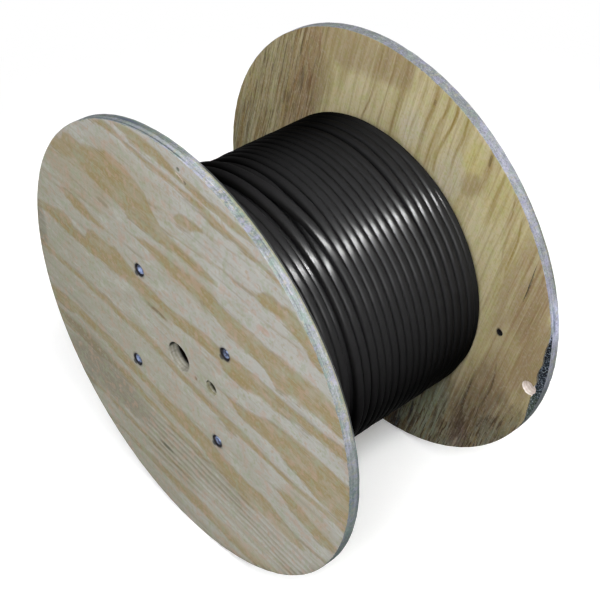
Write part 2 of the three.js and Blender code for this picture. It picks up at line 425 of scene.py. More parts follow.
# each band of darker wood is a list of (h, top, bottom), in rim radii, h to the right and v up
nearBands = [
    [(-.27, .955, .955), (-.18, .975, .93), (-.1, .975, .912), (0, .968, .905), (.07, .945, .9),
     (.12, .92, .895), (.18, .915, .88), (.28, .892, .855), (.38, .885, .842), (.48, .87, .84),
     (.56, .845, .845)],
    [(-.4, .91, .902), (-.34, .936, .905), (-.28, .932, .904), (-.23, .912, .9), (-.15, .902, .876),
     (-.05, .887, .865), (.05, .876, .853), (.15, .866, .838), (.22, .862, .832), (.3, .837, .8),
     (.38, .818, .788), (.42, .806, .796), (.5, .795, .773), (.58, .776, .76), (.62, .768, .738),
     (.68, .752, .728), (.72, .74, .74)],
    [(-.77, .655, .645), (-.72, .68, .632), (-.67, .705, .625), (-.645, .748, .635), (-.6, .757, .64),
     (-.52, .748, .622), (-.46, .762, .61), (-.4, .78, .6), (-.35, .8, .59), (-.29, .785, .572),
     (-.24, .788, .55), (-.2, .762, .548), (-.15, .745, .546), (-.11, .722, .545), (-.08, .675, .542),
     (-.05, .645, .54), (-.02, .61, .537), (.05, .597, .534), (.1, .588, .532), (.16, .576, .526),
     (.22, .566, .518), (.27, .546, .514), (.31, .522, .522)],
    [(.06, .7, .695), (.09, .735, .68), (.12, .748, .682), (.16, .748, .69), (.2, .752, .715),
     (.25, .742, .742)],
    [(.53, .62, .612), (.57, .658, .59), (.62, .668, .584), (.66, .652, .578), (.7, .668, .562),
     (.74, .655, .555), (.78, .615, .53), (.82, .575, .498), (.86, .535, .478), (.89, .49, .49)],
    [(-.22, .475, .475), (-.15, .49, .452), (-.05, .492, .428), (.05, .483, .41), (.15, .482, .4),
     (.2, .476, .388), (.26, .474, .372), (.3, .45, .345), (.36, .44, .328), (.42, .434, .308),
     (.5, .426, .308), (.55, .412, .298), (.58, .41, .268), (.61, .412, .246), (.65, .415, .244),
     (.7, .4, .258), (.74, .398, .25), (.8, .394, .26), (.88, .382, .25), (.95, .36, .24)],
    [(-.96, .275, .24), (-.88, .297, .246), (-.8, .307, .236), (-.75, .318, .226), (-.71, .31, .218),
     (-.68, .28, .21), (-.6, .27, .2), (-.57, .322, .2), (-.53, .336, .204), (-.48, .327, .204),
     (-.42, .322, .196), (-.38, .336, .198), (-.34, .326, .2), (-.3, .306, .194), (-.24, .278, .184),
     (-.18, .266, .162), (-.1, .25, .15), (-.04, .236, .156), (.02, .232, .166), (.12, .242, .16),
     (.2, .238, .16), (.26, .23, .162), (.31, .226, .128), (.4, .226, .11), (.5, .226, .124),
     (.6, .216, .12), (.66, .21, .134), (.74, .208, .146), (.88, .204, .14), (.98, .21, .145)],
    [(-.74, .445, .445), (-.69, .462, .408), (-.65, .46, .386), (-.61, .452, .384), (-.57, .44, .38),
     (-.52, .418, .384), (-.46, .406, .386), (-.4, .392, .392)],
    [(-.97, .052, .02), (-.88, .036, 0), (-.78, .03, -.004), (-.68, .024, -.012), (-.6, .016, -.02),
     (-.5, .02, -.022), (-.44, -.002, -.036), (-.35, -.02, -.05), (-.28, -.004, -.058), (-.22, -.01, -.068),
     (-.15, -.03, -.076), (-.08, -.054, -.096), (0, -.076, -.116), (.08, -.094, -.132), (.16, -.108, -.148),
     (.24, -.12, -.164), (.34, -.132, -.186), (.42, -.142, -.186), (.5, -.16, -.196), (.58, -.176, -.21),
     (.7, -.19, -.23), (.84, -.19, -.222), (.97, -.2, -.24)],
    [(.28, 0, 0), (.4, .002, -.062), (.5, .022, -.072), (.58, .054, -.084), (.65, .056, -.108),
     (.75, .05, -.13), (.82, .046, -.166), (.9, .044, -.188), (.98, .03, -.2)],
    [(-.95, -.19, -.26), (-.85, -.184, -.26), (-.75, -.19, -.25), (-.65, -.2, -.264), (-.55, -.214, -.28),
     (-.45, -.222, -.302), (-.38, -.245, -.306), (-.3, -.27, -.325), (-.22, -.29, -.348), (-.15, -.3, -.362),
     (-.08, -.31, -.386), (0, -.31, -.41), (.05, -.322, -.434), (.1, -.33, -.446), (.15, -.336, -.47),
     (.2, -.36, -.486), (.25, -.385, -.5), (.3, -.394, -.512), (.36, -.404, -.548), (.42, -.415, -.55),
     (.48, -.412, -.534), (.54, -.43, -.54), (.6, -.455, -.542), (.66, -.475, -.55), (.71, -.5, -.545),
     (.75, -.53, -.53)],
    [(.58, -.305, -.305), (.66, -.282, -.355), (.72, -.3, -.368), (.78, -.33, -.392), (.84, -.34, -.408),
     (.9, -.352, -.4), (.95, -.37, -.37)],
    [(-.93, -.29, -.37), (-.85, -.31, -.382), (-.78, -.302, -.382), (-.7, -.32, -.4), (-.62, -.34, -.41),
     (-.55, -.356, -.404), (-.48, -.356, -.4), (-.4, -.352, -.42), (-.34, -.372, -.425), (-.28, -.4, -.44),
     (-.2, -.412, -.456), (-.12, -.44, -.478), (-.05, -.456, -.49), (.05, -.466, -.504),
     (.14, -.485, -.497)],
    [(-.78, -.6, -.61), (-.6, -.622, -.64), (-.5, -.632, -.656), (-.42, -.646, -.67), (-.33, -.66, -.682),
     (-.2, -.678, -.697), (-.08, -.69, -.708), (.06, -.7, -.72), (.2, -.712, -.732), (.35, -.73, -.75),
     (.5, -.742, -.76), (.64, -.752, -.764)],
    [(-.55, -.76, -.762), (-.4, -.774, -.812), (-.3, -.776, -.822), (-.2, -.782, -.84), (-.1, -.79, -.852),
     (0, -.792, -.862), (.1, -.8, -.876), (.2, -.806, -.89), (.3, -.8, -.9), (.4, -.8, -.9),
     (.47, -.802, -.872), (.56, -.81, -.85), (.62, -.82, -.82)],
]
# spots of the same face: h, v, half length along the grain, half width, tone, strength
nearSpots = [
    (-.31, .775, .05, .022, "pink", .55), (-.235, .768, .05, .018, "pink", .65),
    (-.18, .69, .07, .03, "cream", .6), (.56, .48, .035, .02, "pink", .65),
    (-.42, .53, .045, .016, "line", .5), (-.13, .163, .075, .01, "line", .85),
    (-.13, .196, .035, .014, "cream", .7), (.2, .39, .02, .014, "line", .4),
    (-.17, -.625, .05, .012, "moss", .75), (-.965, .14, .045, .12, "moss", .36),
    (-.77, -.6, .07, .06, "moss", .34), (-.72, -.345, .26, .045, "dirt", .6),
    (-.58, -.49, .34, .12, "dirt", .65), (-.64, .42, .05, .022, "ochre", .5),
    (-.46, .63, .05, .016, "ochre", .6), (.1, .555, .08, .014, "ochre", .6),
    (-.34, .27, .09, .02, "ochre", .45), (.4, .14, .08, .018, "ochre", .45),
    (.64, .62, .045, .025, "ochre", .45), (.84, -.1, .07, .02, "ochre", .4),
    (.82, .52, .03, .024, "ochre", .45), (.105, -.044, .01, .01, "line", .9),
    (.02, -.9, .16, .03, "pale", .6), (.02, .195, .05, .014, "ochre", .5), (-.6, .6, .28, .15, "tan", .4),
    (-.2, .75, .28, .12, "ochre", .25), (.1, .45, .22, .11, "ochre", .25), (.3, -.75, .34, .11, "worn", .4),
    (.6, -.6, .24, .11, "worn", .3), (.75, -.3, .16, .08, "tan", .4), (.1245, .943, .01, .009, "moss", .8),
    (.157, .902, .009, .008, "moss", .75),
]
ply = {
    "near": {
        "pale": (169, 168, 163), "cream": (158, 156, 143), "tan": (147, 133, 100), "ochre": (140, 125, 79),
        "dirt": (120, 114, 98), "line": (114, 101, 80), "worn": (186, 185, 179), "green": (144, 153, 128),
        "pink": (174, 146, 130), "moss": (70, 74, 58), "darkBlue": (34, 38, 48), "splinter": (212, 196, 190),
    },
    "far": {
        "base": (176, 164, 124), "bright": (202, 194, 160), "cream": (194, 184, 148),
        "olive": (186, 176, 122), "brown": (142, 122, 94), "red": (140, 112, 84), "grey": (136, 129, 103),
        "pale": (192, 186, 170), "line": (124, 100, 56), "amber": (134, 110, 46), "ochre": (142, 118, 64),
        "dark": (104, 92, 75), "green": (86, 97, 86), "leaf": (124, 131, 113), "violet": (92, 72, 76),
        "blue": (40, 48, 62), "umber": (66, 52, 40), "rust": (122, 84, 52), "hole": (14, 12, 18),
    },
    "spare": {
        "pale": (172, 166, 148), "tan": (152, 134, 102), "line": (118, 96, 64), "grey": (142, 138, 122),
    },
    "nearLean": -0.12,      # how much the grain of the near face falls to the right
    "farLean": 0.30,        # how much that of the far inner face leans to the right of upright
}
# patches of the far inner face, as nearSpots
farPatches = [
    (-.76, .4, .7, .34, "grey", .55), (-.47, .7, .46, .125, "red", .36), (-.42, .74, .4, .06, "red", .28),
    (-.45, .56, .16, .05, "red", .3), (-.93, .17, .24, .09, "green", .3), (-.1, .7, .14, .15, "bright", .35),
    (-.11, .97, .16, .23, "brown", .55), (.1, .93, .1, .11, "brown", .6),
    (.18, .72, .15, .075, "bright", .65), (.53, .7, .11, .052, "olive", .85),
    (.52, .585, .07, .06, "brown", .5), (.19, .69, .1, .08, "pale", .5), (.4, .55, .16, .07, "pale", .5),
    (.54, .43, .15, .09, "bright", .6), (.67, .62, .18, .06, "olive", .4),
    (.64, .33, .22, .06, "bright", .4), (.8, .25, .34, .07, "brown", .54),
    (.92, .24, .34, .085, "brown", .85), (.93, -.06, .24, .075, "brown", .75),
    (.8, -.14, .36, .12, "brown", .35), (.7, -.32, .2, .15, "brown", .55), (.55, -.92, .62, .6, "dark", .87),
    (.86, -.42, .2, .07, "base", .2), (.27, -.84, .3, .12, "green", .66), (.16, -.93, .1, .06, "blue", .9),
    (.37, -.72, .16, .1, "green", .25), (.24, -.85, .09, .06, "blue", .4), (.42, -.74, .11, .08, "grey", .5),
    (.72, -.51, .17, .24, "dark", .36), (.62, -.68, .12, .11, "umber", .22),
    (.39, -.91, .13, .11, "leaf", .65), (.38, -.66, .22, .08, "leaf", .75),
    (.54, -.76, .11, .05, "violet", .6), (.25, -.8, .12, .05, "leaf", .6),
    (.72, -.62, .12, .08, "green", .35),
]
# grain lines of the same face, which run on for long: lean of the stretch, lowest and highest v, tone, and
# for each line the place across, half width and strength
farGrain = [
    (.33, .26, 1.1, "umber", [(-1.015, .01, .22), (-.975, .008, .22), (-.935, .014, .45), (-.865, .01, .26),
        (-.815, .008, .26), (-.775, .009, .38), (-.728, .01, .6), (-.68, .008, .38), (-.631, .008, .64),
        (-.601, .008, .49)]),
    (.3, .45, 1.1, "line", [(-.36, .006, .07), (-.281, .007, .18), (-.265, .006, .1), (-.207, .006, .14),
        (-.189, .007, .21), (-.123, .007, .18), (-.1, .006, .16), (-.05, .006, .09), (-.016, .006, .21),
        (.004, .008, .23)]),
    (.3, .42, 1.1, "line", [(.03, .006, .1), (.053, .008, .23), (.08, .007, .19), (.104, .005, .12),
        (.122, .008, .26), (.139, .006, .19), (.168, .009, .28), (.2, .005, .1), (.23, .013, .3),
        (.35, .01, .16)]),
    (.31, .04, .84, "line", [(.392, .009, .3), (.44, .005, .14), (.476, .008, .32), (.517, .007, .27),
        (.56, .009, .34), (.59, .006, .27), (.63, .009, .34), (.662, .007, .27), (.7, .007, .27),
        (.735, .007, .27)]),
    (.3, -.6, .45, "rust", [(.705, .006, .29), (.738, .007, .29), (.786, .009, .42), (.818, .007, .3),
        (.856, .008, .42), (.884, .006, .29), (.912, .007, .34), (.94, .006, .22)]),
    (.28, -1.1, -.36, "umber", [(.44, .008, .5), (.505, .013, .95), (.56, .008, .5), (.605, .009, .65),
        (.64, .007, .6), (.692, .008, .65), (.716, .012, .9), (.745, .008, .6), (.785, .007, .4),
        (.812, .008, .55)]),
]
# its plainest year lines one by one: tone, then h, v, half width and strength along each from below
farLines = [
    ("amber", [(.276, .579, .012, .6), (.309, .685, .014, .7), (.342, .778, .011, .6),
        (.369, .831, .009, .7), (.402, .897, .008, .6)]),
    ("amber", [(.319, .559, .01, .75), (.336, .638, .011, .8), (.356, .691, .011, .75),
        (.395, .764, .011, .8), (.429, .831, .01, .85), (.442, .884, .009, 1)]),
    ("amber", [(.415, .592, .008, .4), (.425, .645, .008, .7), (.442, .705, .01, .65),
        (.475, .764, .01, .75), (.482, .817, .009, .9), (.495, .864, .01, .9)]),
    ("amber", [(.574, .579, .02, .25), (.608, .665, .02, .55), (.618, .725, .017, .75),
        (.627, .771, .012, .9)]),
    ("amber", [(.614, .453, .012, .35), (.641, .512, .012, .55), (.654, .579, .012, .65),
        (.674, .645, .012, .7), (.694, .705, .008, .85)]),
    ("line", [(.7, .42, .006, .3), (.727, .499, .006, .4), (.747, .552, .006, .5), (.751, .612, .007, .8)]),
    ("line", [(.714, .34, .006, .4), (.714, .373, .007, .7), (.728, .42, .006, .5), (.742, .47, .006, .3)]),
    ("amber", [(.735, .27, .006, .5), (.747, .313, .007, .7), (.767, .38, .007, .85), (.785, .45, .006, .8),
        (.793, .519, .006, .8)]),
    ("amber", [(.19, .7, .008, .3), (.23, .784, .007, .5), (.249, .86, .007, .6), (.276, .93, .007, .7)]),
    ("amber", [(.225, .6, .01, .5), (.283, .764, .01, .45), (.316, .85, .013, .6), (.335, .93, .012, .7)]),
    ("line", [(-.105, .61, .007, .6), (-.072, .67, .007, .7), (-.038, .748, .006, .6),
        (-.009, .845, .006, .65), (.026, .95, .007, .55)]),
    ("line", [(-.006, .62, .008, .9), (.018, .7, .007, .75), (.045, .79, .006, .6), (.074, .87, .006, .55),
        (.103, .961, .006, .55)]),
    ("line", [(.075, .63, .008, .55), (.103, .729, .007, .55), (.132, .816, .007, .6),
        (.171, .923, .007, .6)]),
    ("rust", [(-.576, .418, .01, .45), (-.556, .477, .01, .55), (-.527, .593, .011, .6),
        (-.469, .69, .01, .55), (-.445, .8, .008, .35)]),
    ("rust", [(-.653, .418, .01, .35), (-.634, .515, .01, .45), (-.605, .68, .008, .4)]),
    ("rust", [(-.365, .76, .006, .2), (-.35, .806, .008, .65), (-.353, .855, .009, .8),
        (-.345, .9, .006, .3)]),
    ("rust", [(-.435, .6, .007, .4), (-.42, .63, .01, .75), (-.414, .66, .009, .75), (-.425, .74, .008, .5),
        (-.43, .8, .006, .2)]),
    ("umber", [(.554, -.69, .011, .8), (.558, -.6, .012, .95), (.567, -.52, .01, .9),
        (.603, -.43, .006, .6)]),
    ("umber", [(.495, -.72, .01, .6), (.549, -.565, .009, .6), (.589, -.412, .006, .4)]),
    ("umber", [(.396, -.8, .008, .55), (.414, -.681, .009, .65), (.432, -.618, .009, .65),
        (.468, -.529, .007, .6), (.486, -.457, .006, .5)]),
    ("umber", [(.675, -.457, .007, .5), (.72, -.367, .007, .65), (.729, -.295, .007, .65),
        (.735, -.22, .006, .35)]),
    ("blue", [(.235, -.9, .016, .95), (.25, -.83, .013, .9), (.262, -.75, .01, .8)]),
]
# short dark marks: h and v of the upper end, h and v of the lower end, half width, strength
farMarks = [
    (.622, .765, .612, .71, .007, .6), (.875, .34, .85, .22, .006, .75), (.545, -.68, .528, -.73, .016, .9),
    (.322, .875, .316, .85, .008, .5),
]


def faceCoordinates(y, z, side=-1):
    # h to the right as seen from -X (from +X for side 1) and v up from the axis, in rim radii
    return y * (side / rimRadius), (z - axisHeight) * (1 / rimRadius)


def unit(value):
    # -1.1 to 1.1 rim radii as 0 to 1, for signals and numbers
    return value * (1 / 2.2) + 0.5


def union(masks):
    return functools.reduce(lambda first, second: first.largest(second), masks)


def fibres(paint, along, across, seed):
    # fine fibres and pores: noise drawn out along the grain, at three sizes
    broad = paint.grain(along * 2.2, across * 34, seed, 3.0, 0.6)
    fine = paint.grain(along * 7, across * 190, seed + 3.1, 3.0, 0.65)
    return broad, fine, paint.grain(along * 26, across * 420, seed + 7.7, 1.0)


def bandMask(paint, h, v, band):
    # 1 between the band's top and bottom edges, which a ramp gives for each h, a half on them
    stops = [(unit(a), (unit(top), unit(bottom), 0)) for a, top, bottom in band]
    edges = paint.curves(unit(h), stops)
    level = unit(v)
    soft = 0.010 / 2.2
    return (edges - level).step(-soft, soft) * (level - edges.other("Green")).step(-soft, soft)


def ovalMask(along, across, middle, sizes):
    # 1 near the middle of an oval, 0 outside: from the sum of the squares of the distances in half sizes
    a = (along - middle[0]) * (1 / sizes[0])
    b = (across - middle[1]) * (1 / sizes[1])
    return (a * a + b * b).step(1.4, 0.3)


def strokeMask(along, across, start, end, width):
    # 1 on a short slanting stroke: run goes from 0 at its start to 1 at its end
    run = (along - start[0]) * (1 / (end[0] - start[0]))
    off = abs(across - (start[1] + run * (end[1] - start[1])))
    return off.step(width * 1.2, width * 0.3) * run.step(-0.15, 0.15) * run.step(1.15, 0.85)


def nearFaceMaterial():
    # near outer face: pale weathered wood with drawn out bands of tan, nearly level, falling to the right
    paint = Paint("ply_near_face", ply["near"])
    y, z, where = objectPlace(paint)[1:]
    h, v = faceCoordinates(y, z)
    lean = ply["nearLean"]
    along = h + v * lean
    across = v - h * lean
    broad, fine, pores = fibres(paint, along, across, 1.0)
    wander = paint.grain(along * 2.6, across * 8.0, 4.0, 3.0, 0.55)
    mottle = paint.grain(along * 7.0, across * 16.0, 5.0, 5.0, 0.7)
    cloud = paint.grain(h * 2.4, v * 3.6, 9.0, 3.0)
    tint = paint.noise(where, 62.0, 3.0, 0.6)
    speck = paint.noise(where, 150.0, 2.0, 0.6)
    wavyV = v + (wander - 0.5) * 0.030 + (mottle - 0.5) * 0.050 + (broad - 0.5) * 0.030
    tan = union(bandMask(paint, h, wavyV, band) for band in nearBands)
    # painted shade: the base is paler to the upper right and more cream to the lower left
    paint.start(((cloud - 0.5) * 0.8 - h * 0.5 - v * 0.5).step(-0.55, 0.30), "pale", "cream")
    paint.coats((mottle, 0.52, 0.72, 0.50, "tan"), (mottle, 0.50, 0.32, 0.45, "worn"))
    yellower = paint.mix(0.35, paint.tone("tan"), paint.tone("ochre"))
    bandTone = paint.mix(cloud.step(0.40, 0.62), paint.tone("tan"), yellower)
    paint.lay(tan * (0.64 + mottle.step(0.36, 0.60) * 0.36), bandTone)
    paint.lay(tan * (1 - tan) * 4 * broad.step(0.45, 0.60) * 0.30, "line")
    # thin year lines, strong low on the face, faint elsewhere
    saw = ((across + (wander - 0.5) * 0.05 + (mottle - 0.5) * 0.012) * 27.0).fraction()
    tilted = v + h * 0.08
    low = tilted.step(-0.45, -0.52) * tilted.step(-0.80, -0.73) * h.step(-0.42, -0.20)
    strength = low * 0.55 + cloud.step(0.50, 0.68) * 0.12
    paint.lay(saw.step(0.20, 0.72) * saw.step(1.0, 0.80) * strength, "line")
    for sh, sv, length, width, tone, amount in nearSpots:
        middle = (sh + sv * lean, sv - sh * lean)
        spot = ovalMask(along, across + (mottle - 0.5) * width, middle, (length, width))
        paint.lay(spot * amount, tone)
    # painted shade, darkening the face low on the left; darker too along the lower rim
    lowLeftShadeAndRim = (h * 0.75 + v * 0.66 + (cloud - 0.5) * 0.5).step(-0.30, -0.90) * 0.35
    lowRim = ((h * h + v * v) ** 0.5).step(0.965, 0.998) * (h * 0.5 + v * 0.9).step(0.2, -0.4)
    lowLeftShadeAndRim = lowLeftShadeAndRim.largest(lowRim * broad.step(0.35, 0.60))
    paint.lay(lowLeftShadeAndRim * (0.45 + broad.step(0.40, 0.65) * 0.45), "dirt")
    paint.coats((broad, 0.55, 0.72, 0.30, "dirt"), (fine, 0.52, 0.72, 0.20, "line"),
                (fine, 0.48, 0.30, 0.20, "worn"), (pores, 0.58, 0.72, 0.15, "dirt"),
                (tint, 0.53, 0.66, 0.48, "green"), (tint, 0.47, 0.34, 0.44, "pink"),
                (speck, 0.55, 0.70, 0.28, "ochre"), (speck, 0.45, 0.30, 0.22, "pale"))
    # darker round each bolt recess and in a tail below it to the left
    boltDarkSpots = ((0.0, 0.0, 0.0128), (0.0085, -0.0095, 0.0052))
    boltDark = union(ovalMask(y, z, (cy + dy, cz + dz), (size, size))
                   for cy, cz in boltCentres for dy, dz, size in boltDarkSpots)
    paint.lay(boltDark * 0.85, "darkBlue")
    paint.lay(strokeMask(h, v, (0.108, 0.921), (0.150, 0.900), 0.0042) * 0.75, "splinter")
    height = fine * 0.6 + pores * 0.3 + broad * 0.4 - tan * 0.15
    return paint.finish(0.86 - fine * 0.1, height, 0.0006, 0.35, Specular_IOR_Level=0.06)


def grainLines(paint, across, lines):
    # 0 between the lines, the line's strength on them: one ramp over the stretch they cross
    low, high = lines[0][0] - 0.04, lines[-1][0] + 0.04
    scale = 1 / (high - low)
    stops = []
    for place, width, strength in lines:
        for offset, value in ((-width, 0.0), (0.0, strength), (width, 0.0)):
            stops.append(((place + offset - low) * scale, (value, value, value)))
    return paint.curves((across - low) * scale, stops)


def lineMask(paint, h, level, points):
    # 1 on a year line that wanders: a ramp over the height gives its place, width and strength there
    lowest, highest = points[0], points[-1]
    first = (lowest[0], lowest[1] - 0.03, lowest[2], 0.0)
    last = (highest[0], highest[1] + 0.05, highest[2], 0.0)
    stops = [(unit(pv), (unit(ph), half * 10, amount)) for ph, pv, half, amount in [first, *points, last]]
    line = paint.curves(level, stops, "B_SPLINE")
    return (abs(h - line) / line.other("Green")).step(0.059, 0.009) * line.other("Blue")


def farFaceMaterial():
    # far inner face: cream wood in patches, steep leaning grain with long dark lines, stained at the foot
    paint = Paint("ply_far_face", ply["far"])
    y, z, where = objectPlace(paint)[1:]
    h, v = faceCoordinates(y, z)
    bend = paint.grain(h * 1.6, v * 1.1, 2.0)
    across = h - v * ply["farLean"]
    wavy = across + (bend - 0.5) * 0.05
    broad, fine, pores = fibres(paint, v, wavy, 21.0)
    veil = paint.grain(wavy * 14, v * 0.9, 8.0, 4.0, 0.6)
    hair = paint.grain(wavy * 60, v * 1.6, 15.0, 3.0, 0.6)
    cloud = paint.noise(where, 12.0, 4.0, 0.6)
    tint = paint.noise(where, 62.0, 3.0, 0.6)
    speck = paint.noise(where, 190.0, 2.0, 0.6)
    paint.start(veil.step(0.40, 0.60), "base", "cream")
    for ph, pv, length, width, tone, amount in farPatches:
        warpedAcross = across + (veil - 0.5) * (width * 2.2)
        warpedAlong = v + (cloud - 0.5) * (length * 0.9)
        spot = ovalMask(warpedAlong, warpedAcross, (pv, ph - pv * ply["farLean"]), (length, width))
        paint.lay(spot * amount, tone)
    # year lines: drawn out noise cut at several levels, strongest low down and on the left
    worse = v.step(-0.15, -0.60).largest(h.step(-0.30, -0.55))
    left = h.step(-0.25, -0.50)
    foot = (v - h * 0.45).step(-0.64, -0.96)
    gain = 0.66 + left * 1.05 + foot * 0.80
    lit = 0.62 + left * 0.50 + foot * 0.05
    paint.coats((veil, 0.54, 0.68, 0.25 + worse * 0.25 - foot * 0.42, "ochre"),
                (hair, 0.52, 0.62, gain * 0.34, "line"), (hair, 0.47, 0.36, lit * 0.34, "bright"))
    wobble = (bend - 0.5) * 0.03 + (hair - 0.5) * 0.008 + (broad - 0.5) * 0.010
    broken = 0.30 + broad.step(0.38, 0.56) * 0.70
    for lean, low, high, tone, lines in farGrain:
        mask = grainLines(paint, h - v * lean + wobble, lines)
        mask = mask * v.step(low - 0.08, low + 0.08) * v.step(high + 0.08, high - 0.08)
        paint.lay(mask * broken, tone)
    wavyH = unit(h + (hair - 0.5) * 0.010 + (broad - 0.5) * 0.008)
    level = unit(v)
    strength = 0.60 + hair.step(0.40, 0.60) * 0.40
    for tone, points in farLines:
        paint.lay(lineMask(paint, wavyH, level, points) * strength, tone)
    marks = union(strokeMask(v, h + wobble, (topV, topH), (lowV, lowH), width) * amount
                  for topH, topV, lowH, lowV, width, amount in farMarks)
    paint.lay(marks * (0.50 + fine.step(0.35, 0.60) * 0.50), "umber")
    # painted shade: a near black oval round the mouth of the lashing hole
    paint.lay(ovalMask(h + wobble * 0.5, v, (0.733, -0.034), (0.0165, 0.0215)) * 0.95, "hole")
    paint.coats((fine, 0.53, 0.68, gain * 0.28, "line"), (fine, 0.47, 0.32, lit * 0.26, "bright"),
                (pores, 0.58, 0.72, gain * 0.28, "umber"), (speck, 0.54, 0.66, 0.16, "brown"),
                (speck, 0.46, 0.34, 0.14, "pale"))
    # faint green and pink clouding that leaves the lightness alone
    for signal, low, high, shade in ((tint, 0.52, 0.64, (0.94, 1.01, 0.88, 1.0)),
                                     (tint, 0.48, 0.36, (1.03, 0.98, 1.02, 1.0)),
                                     (speck, 0.52, 0.60, (1.0, 1.0, 0.86, 1.0))):
        paint.body = paint.mix(signal.step(low, high) * 0.8, paint.body, shade, "MULTIPLY")
    # short broken streaks at the foot, where the wet has stood, and fine dark slits there and on the left
    torn = paint.grain(wavy * 46, v * 5.0, 31.0, 4.0, 0.7)
    slits = paint.grain(wavy * 100, v * 7.0, 37.0, 3.0, 0.6)
    paint.coats((torn, 0.52, 0.60, foot * 0.55, "umber"), (torn, 0.46, 0.38, foot * 0.60, "leaf"),
                (slits, 0.55, 0.60, foot * 0.90 + left * 0.50, "umber"))
    height = fine * 0.6 + pores * 0.3 + hair * 0.6
    return paint.finish(0.84 - fine * 0.1, height, 0.0006, 0.35, Specular_IOR_Level=0.06)


def angleAround(y, z):
    # angle round the drum in degrees, from its side to the left of the near face over the top, -90 to 270
    up = z - axisHeight
    turn = up.math("ARCTAN2", up, y) * (180 / math.pi)
    return turn + turn.step(-89.0, -91.0) * 360


def spareFaceMaterial(name, tilt, seed):
    # the two faces turned away: year lines of a sliced log, long pointed arches, paler where worn
    paint = Paint(name, ply["spare"])
    y, z = objectPlace(paint)[1:3]
    h, v = faceCoordinates(y, z, 1)
    slope = math.tan(math.radians(tilt))
    along = h - v * slope
    across = v + h * slope
    broad, fine, pores = fibres(paint, along, across, seed)
    hill = paint.grain(along * 0.9, across * 1.7, seed + 2.0)
    worn = paint.grain(h * 2.2, v * 2.2, seed + 5.0, 3.0)
    saw = (across * 4.0 + hill * 5.0 + (broad - 0.5) * 0.22).fraction()
    paint.start(saw.step(0.35, 0.92) * saw.step(1.0, 0.95) * (0.55 + broad * 0.5), "pale", "tan")
    paint.coats((saw, 0.80, 0.95, saw.step(1.0, 0.96) * 0.45, "line"), (worn, 0.50, 0.75, 0.6, "grey"),
                (fine, 0.60, 0.85, 0.25, "line"), (pores, 0.66, 0.80, 0.22, "line"))
    height = fine * 0.6 + pores * 0.3 + broad * 0.4
    return paint.finish(0.82 - fine * 0.1, height, 0.0006, 0.35, Specular_IOR_Level=0.25)


def edgeMaterial(name, look):
    # sawn edge: seven plies crossed in turn, end grain darker than long grain, glue lines between them, gone
    # blue grey in the weather; then the marks, stretches of the edge at one depth between two angles
    paint = Paint(name, look["tones"])
    x, y, z, where = objectPlace(paint)
    depth = (drum["outerFace"] - abs(x)) * 1000
    share = depth * (1 / plyEdges[-1])
    parity = [(a / plyEdges[-1], (k % 2, 0, 0)) for k, a in enumerate(plyEdges[:-1])]
    crossed = paint.curves(share, parity, "CONSTANT")
    up = z - axisHeight
    upward = (up * up) / (y * y + up * up)
    endness = crossed * upward + (1 - crossed) * (1 - upward)
    streak = paint.grain(x * 900, y * 26, z * 26, 3.0, 0.6)
    grit = paint.noise(where, 420.0, 3.0, 0.7)
    blot = paint.grain(x * 150, y * 48, z * 48, 4.0, 0.7)
    tint = paint.noise(where, 64.0, 4.0, 0.75)
    warm = paint.noise(where, 97.0, 4.0, 0.75)
    peak = ((-0.34, 0), (0, 1), (0.34, 0))
    glueStops = [((a + off) / plyEdges[-1], (level,) * 3) for a in plyEdges[1:-1] for off, level in peak]
    lines = paint.curves(share, glueStops)
    paint.start(endness.step(0.25, 0.9) * 0.6, "long", "end")
    paint.lay(lines * (0.10 + blot.step(0.35, 0.6) * 0.45), "glue")
    paint.coats((streak, 0.50, 0.72, 0.50, "end"), (streak, 0.48, 0.30, 0.35, "worn"))
    around = angleAround(y, z)

    def layMarks(marks, wander):
        shifted = depth + (blot - 0.5) * wander
        for middle, half, first, last, tone, amount in marks:
            mark = abs(shifted - middle).step(half * 1.3, half * 0.6)
            mark = mark * around.step(first - 2.5, first + 2.5) * around.step(last + 2.5, last - 2.5)
            paint.lay(mark * amount, tone)

    layMarks(look["marks"], 3.0)
    coarse, hue = look["grit"], look["hue"]
    paint.coats((blot, 0.50, 0.62, 0.50, "dull"), (blot, 0.46, 0.34, 0.35, "worn"),
                (grit, 0.54, 0.66, 0.40 * coarse, "glue"), (grit, 0.45, 0.33, 0.26 * coarse, "worn"),
                (tint, 0.51, 0.62, 0.34 * hue, "cool"), (tint, 0.49, 0.38, 0.36 * hue, "green"),
                (warm, 0.53, 0.64, 0.40 * hue, "warm"))
    layMarks(look["lines"], 0.8)
    # painted shade: darker outside the stretch of the edge that faces the lamps
    first, last = look["litStretch"]
    shaded = 1 - around.step(first - 7, first + 7) * around.step(last + 7, last - 7)
    paint.lay(shaded * look["shadeAmount"], "shaded")
    height = streak * 0.7 + grit * 0.6 - lines * 0.4
    return paint.finish(0.9, height, 0.0009, 0.5, Specular_IOR_Level=0.1)


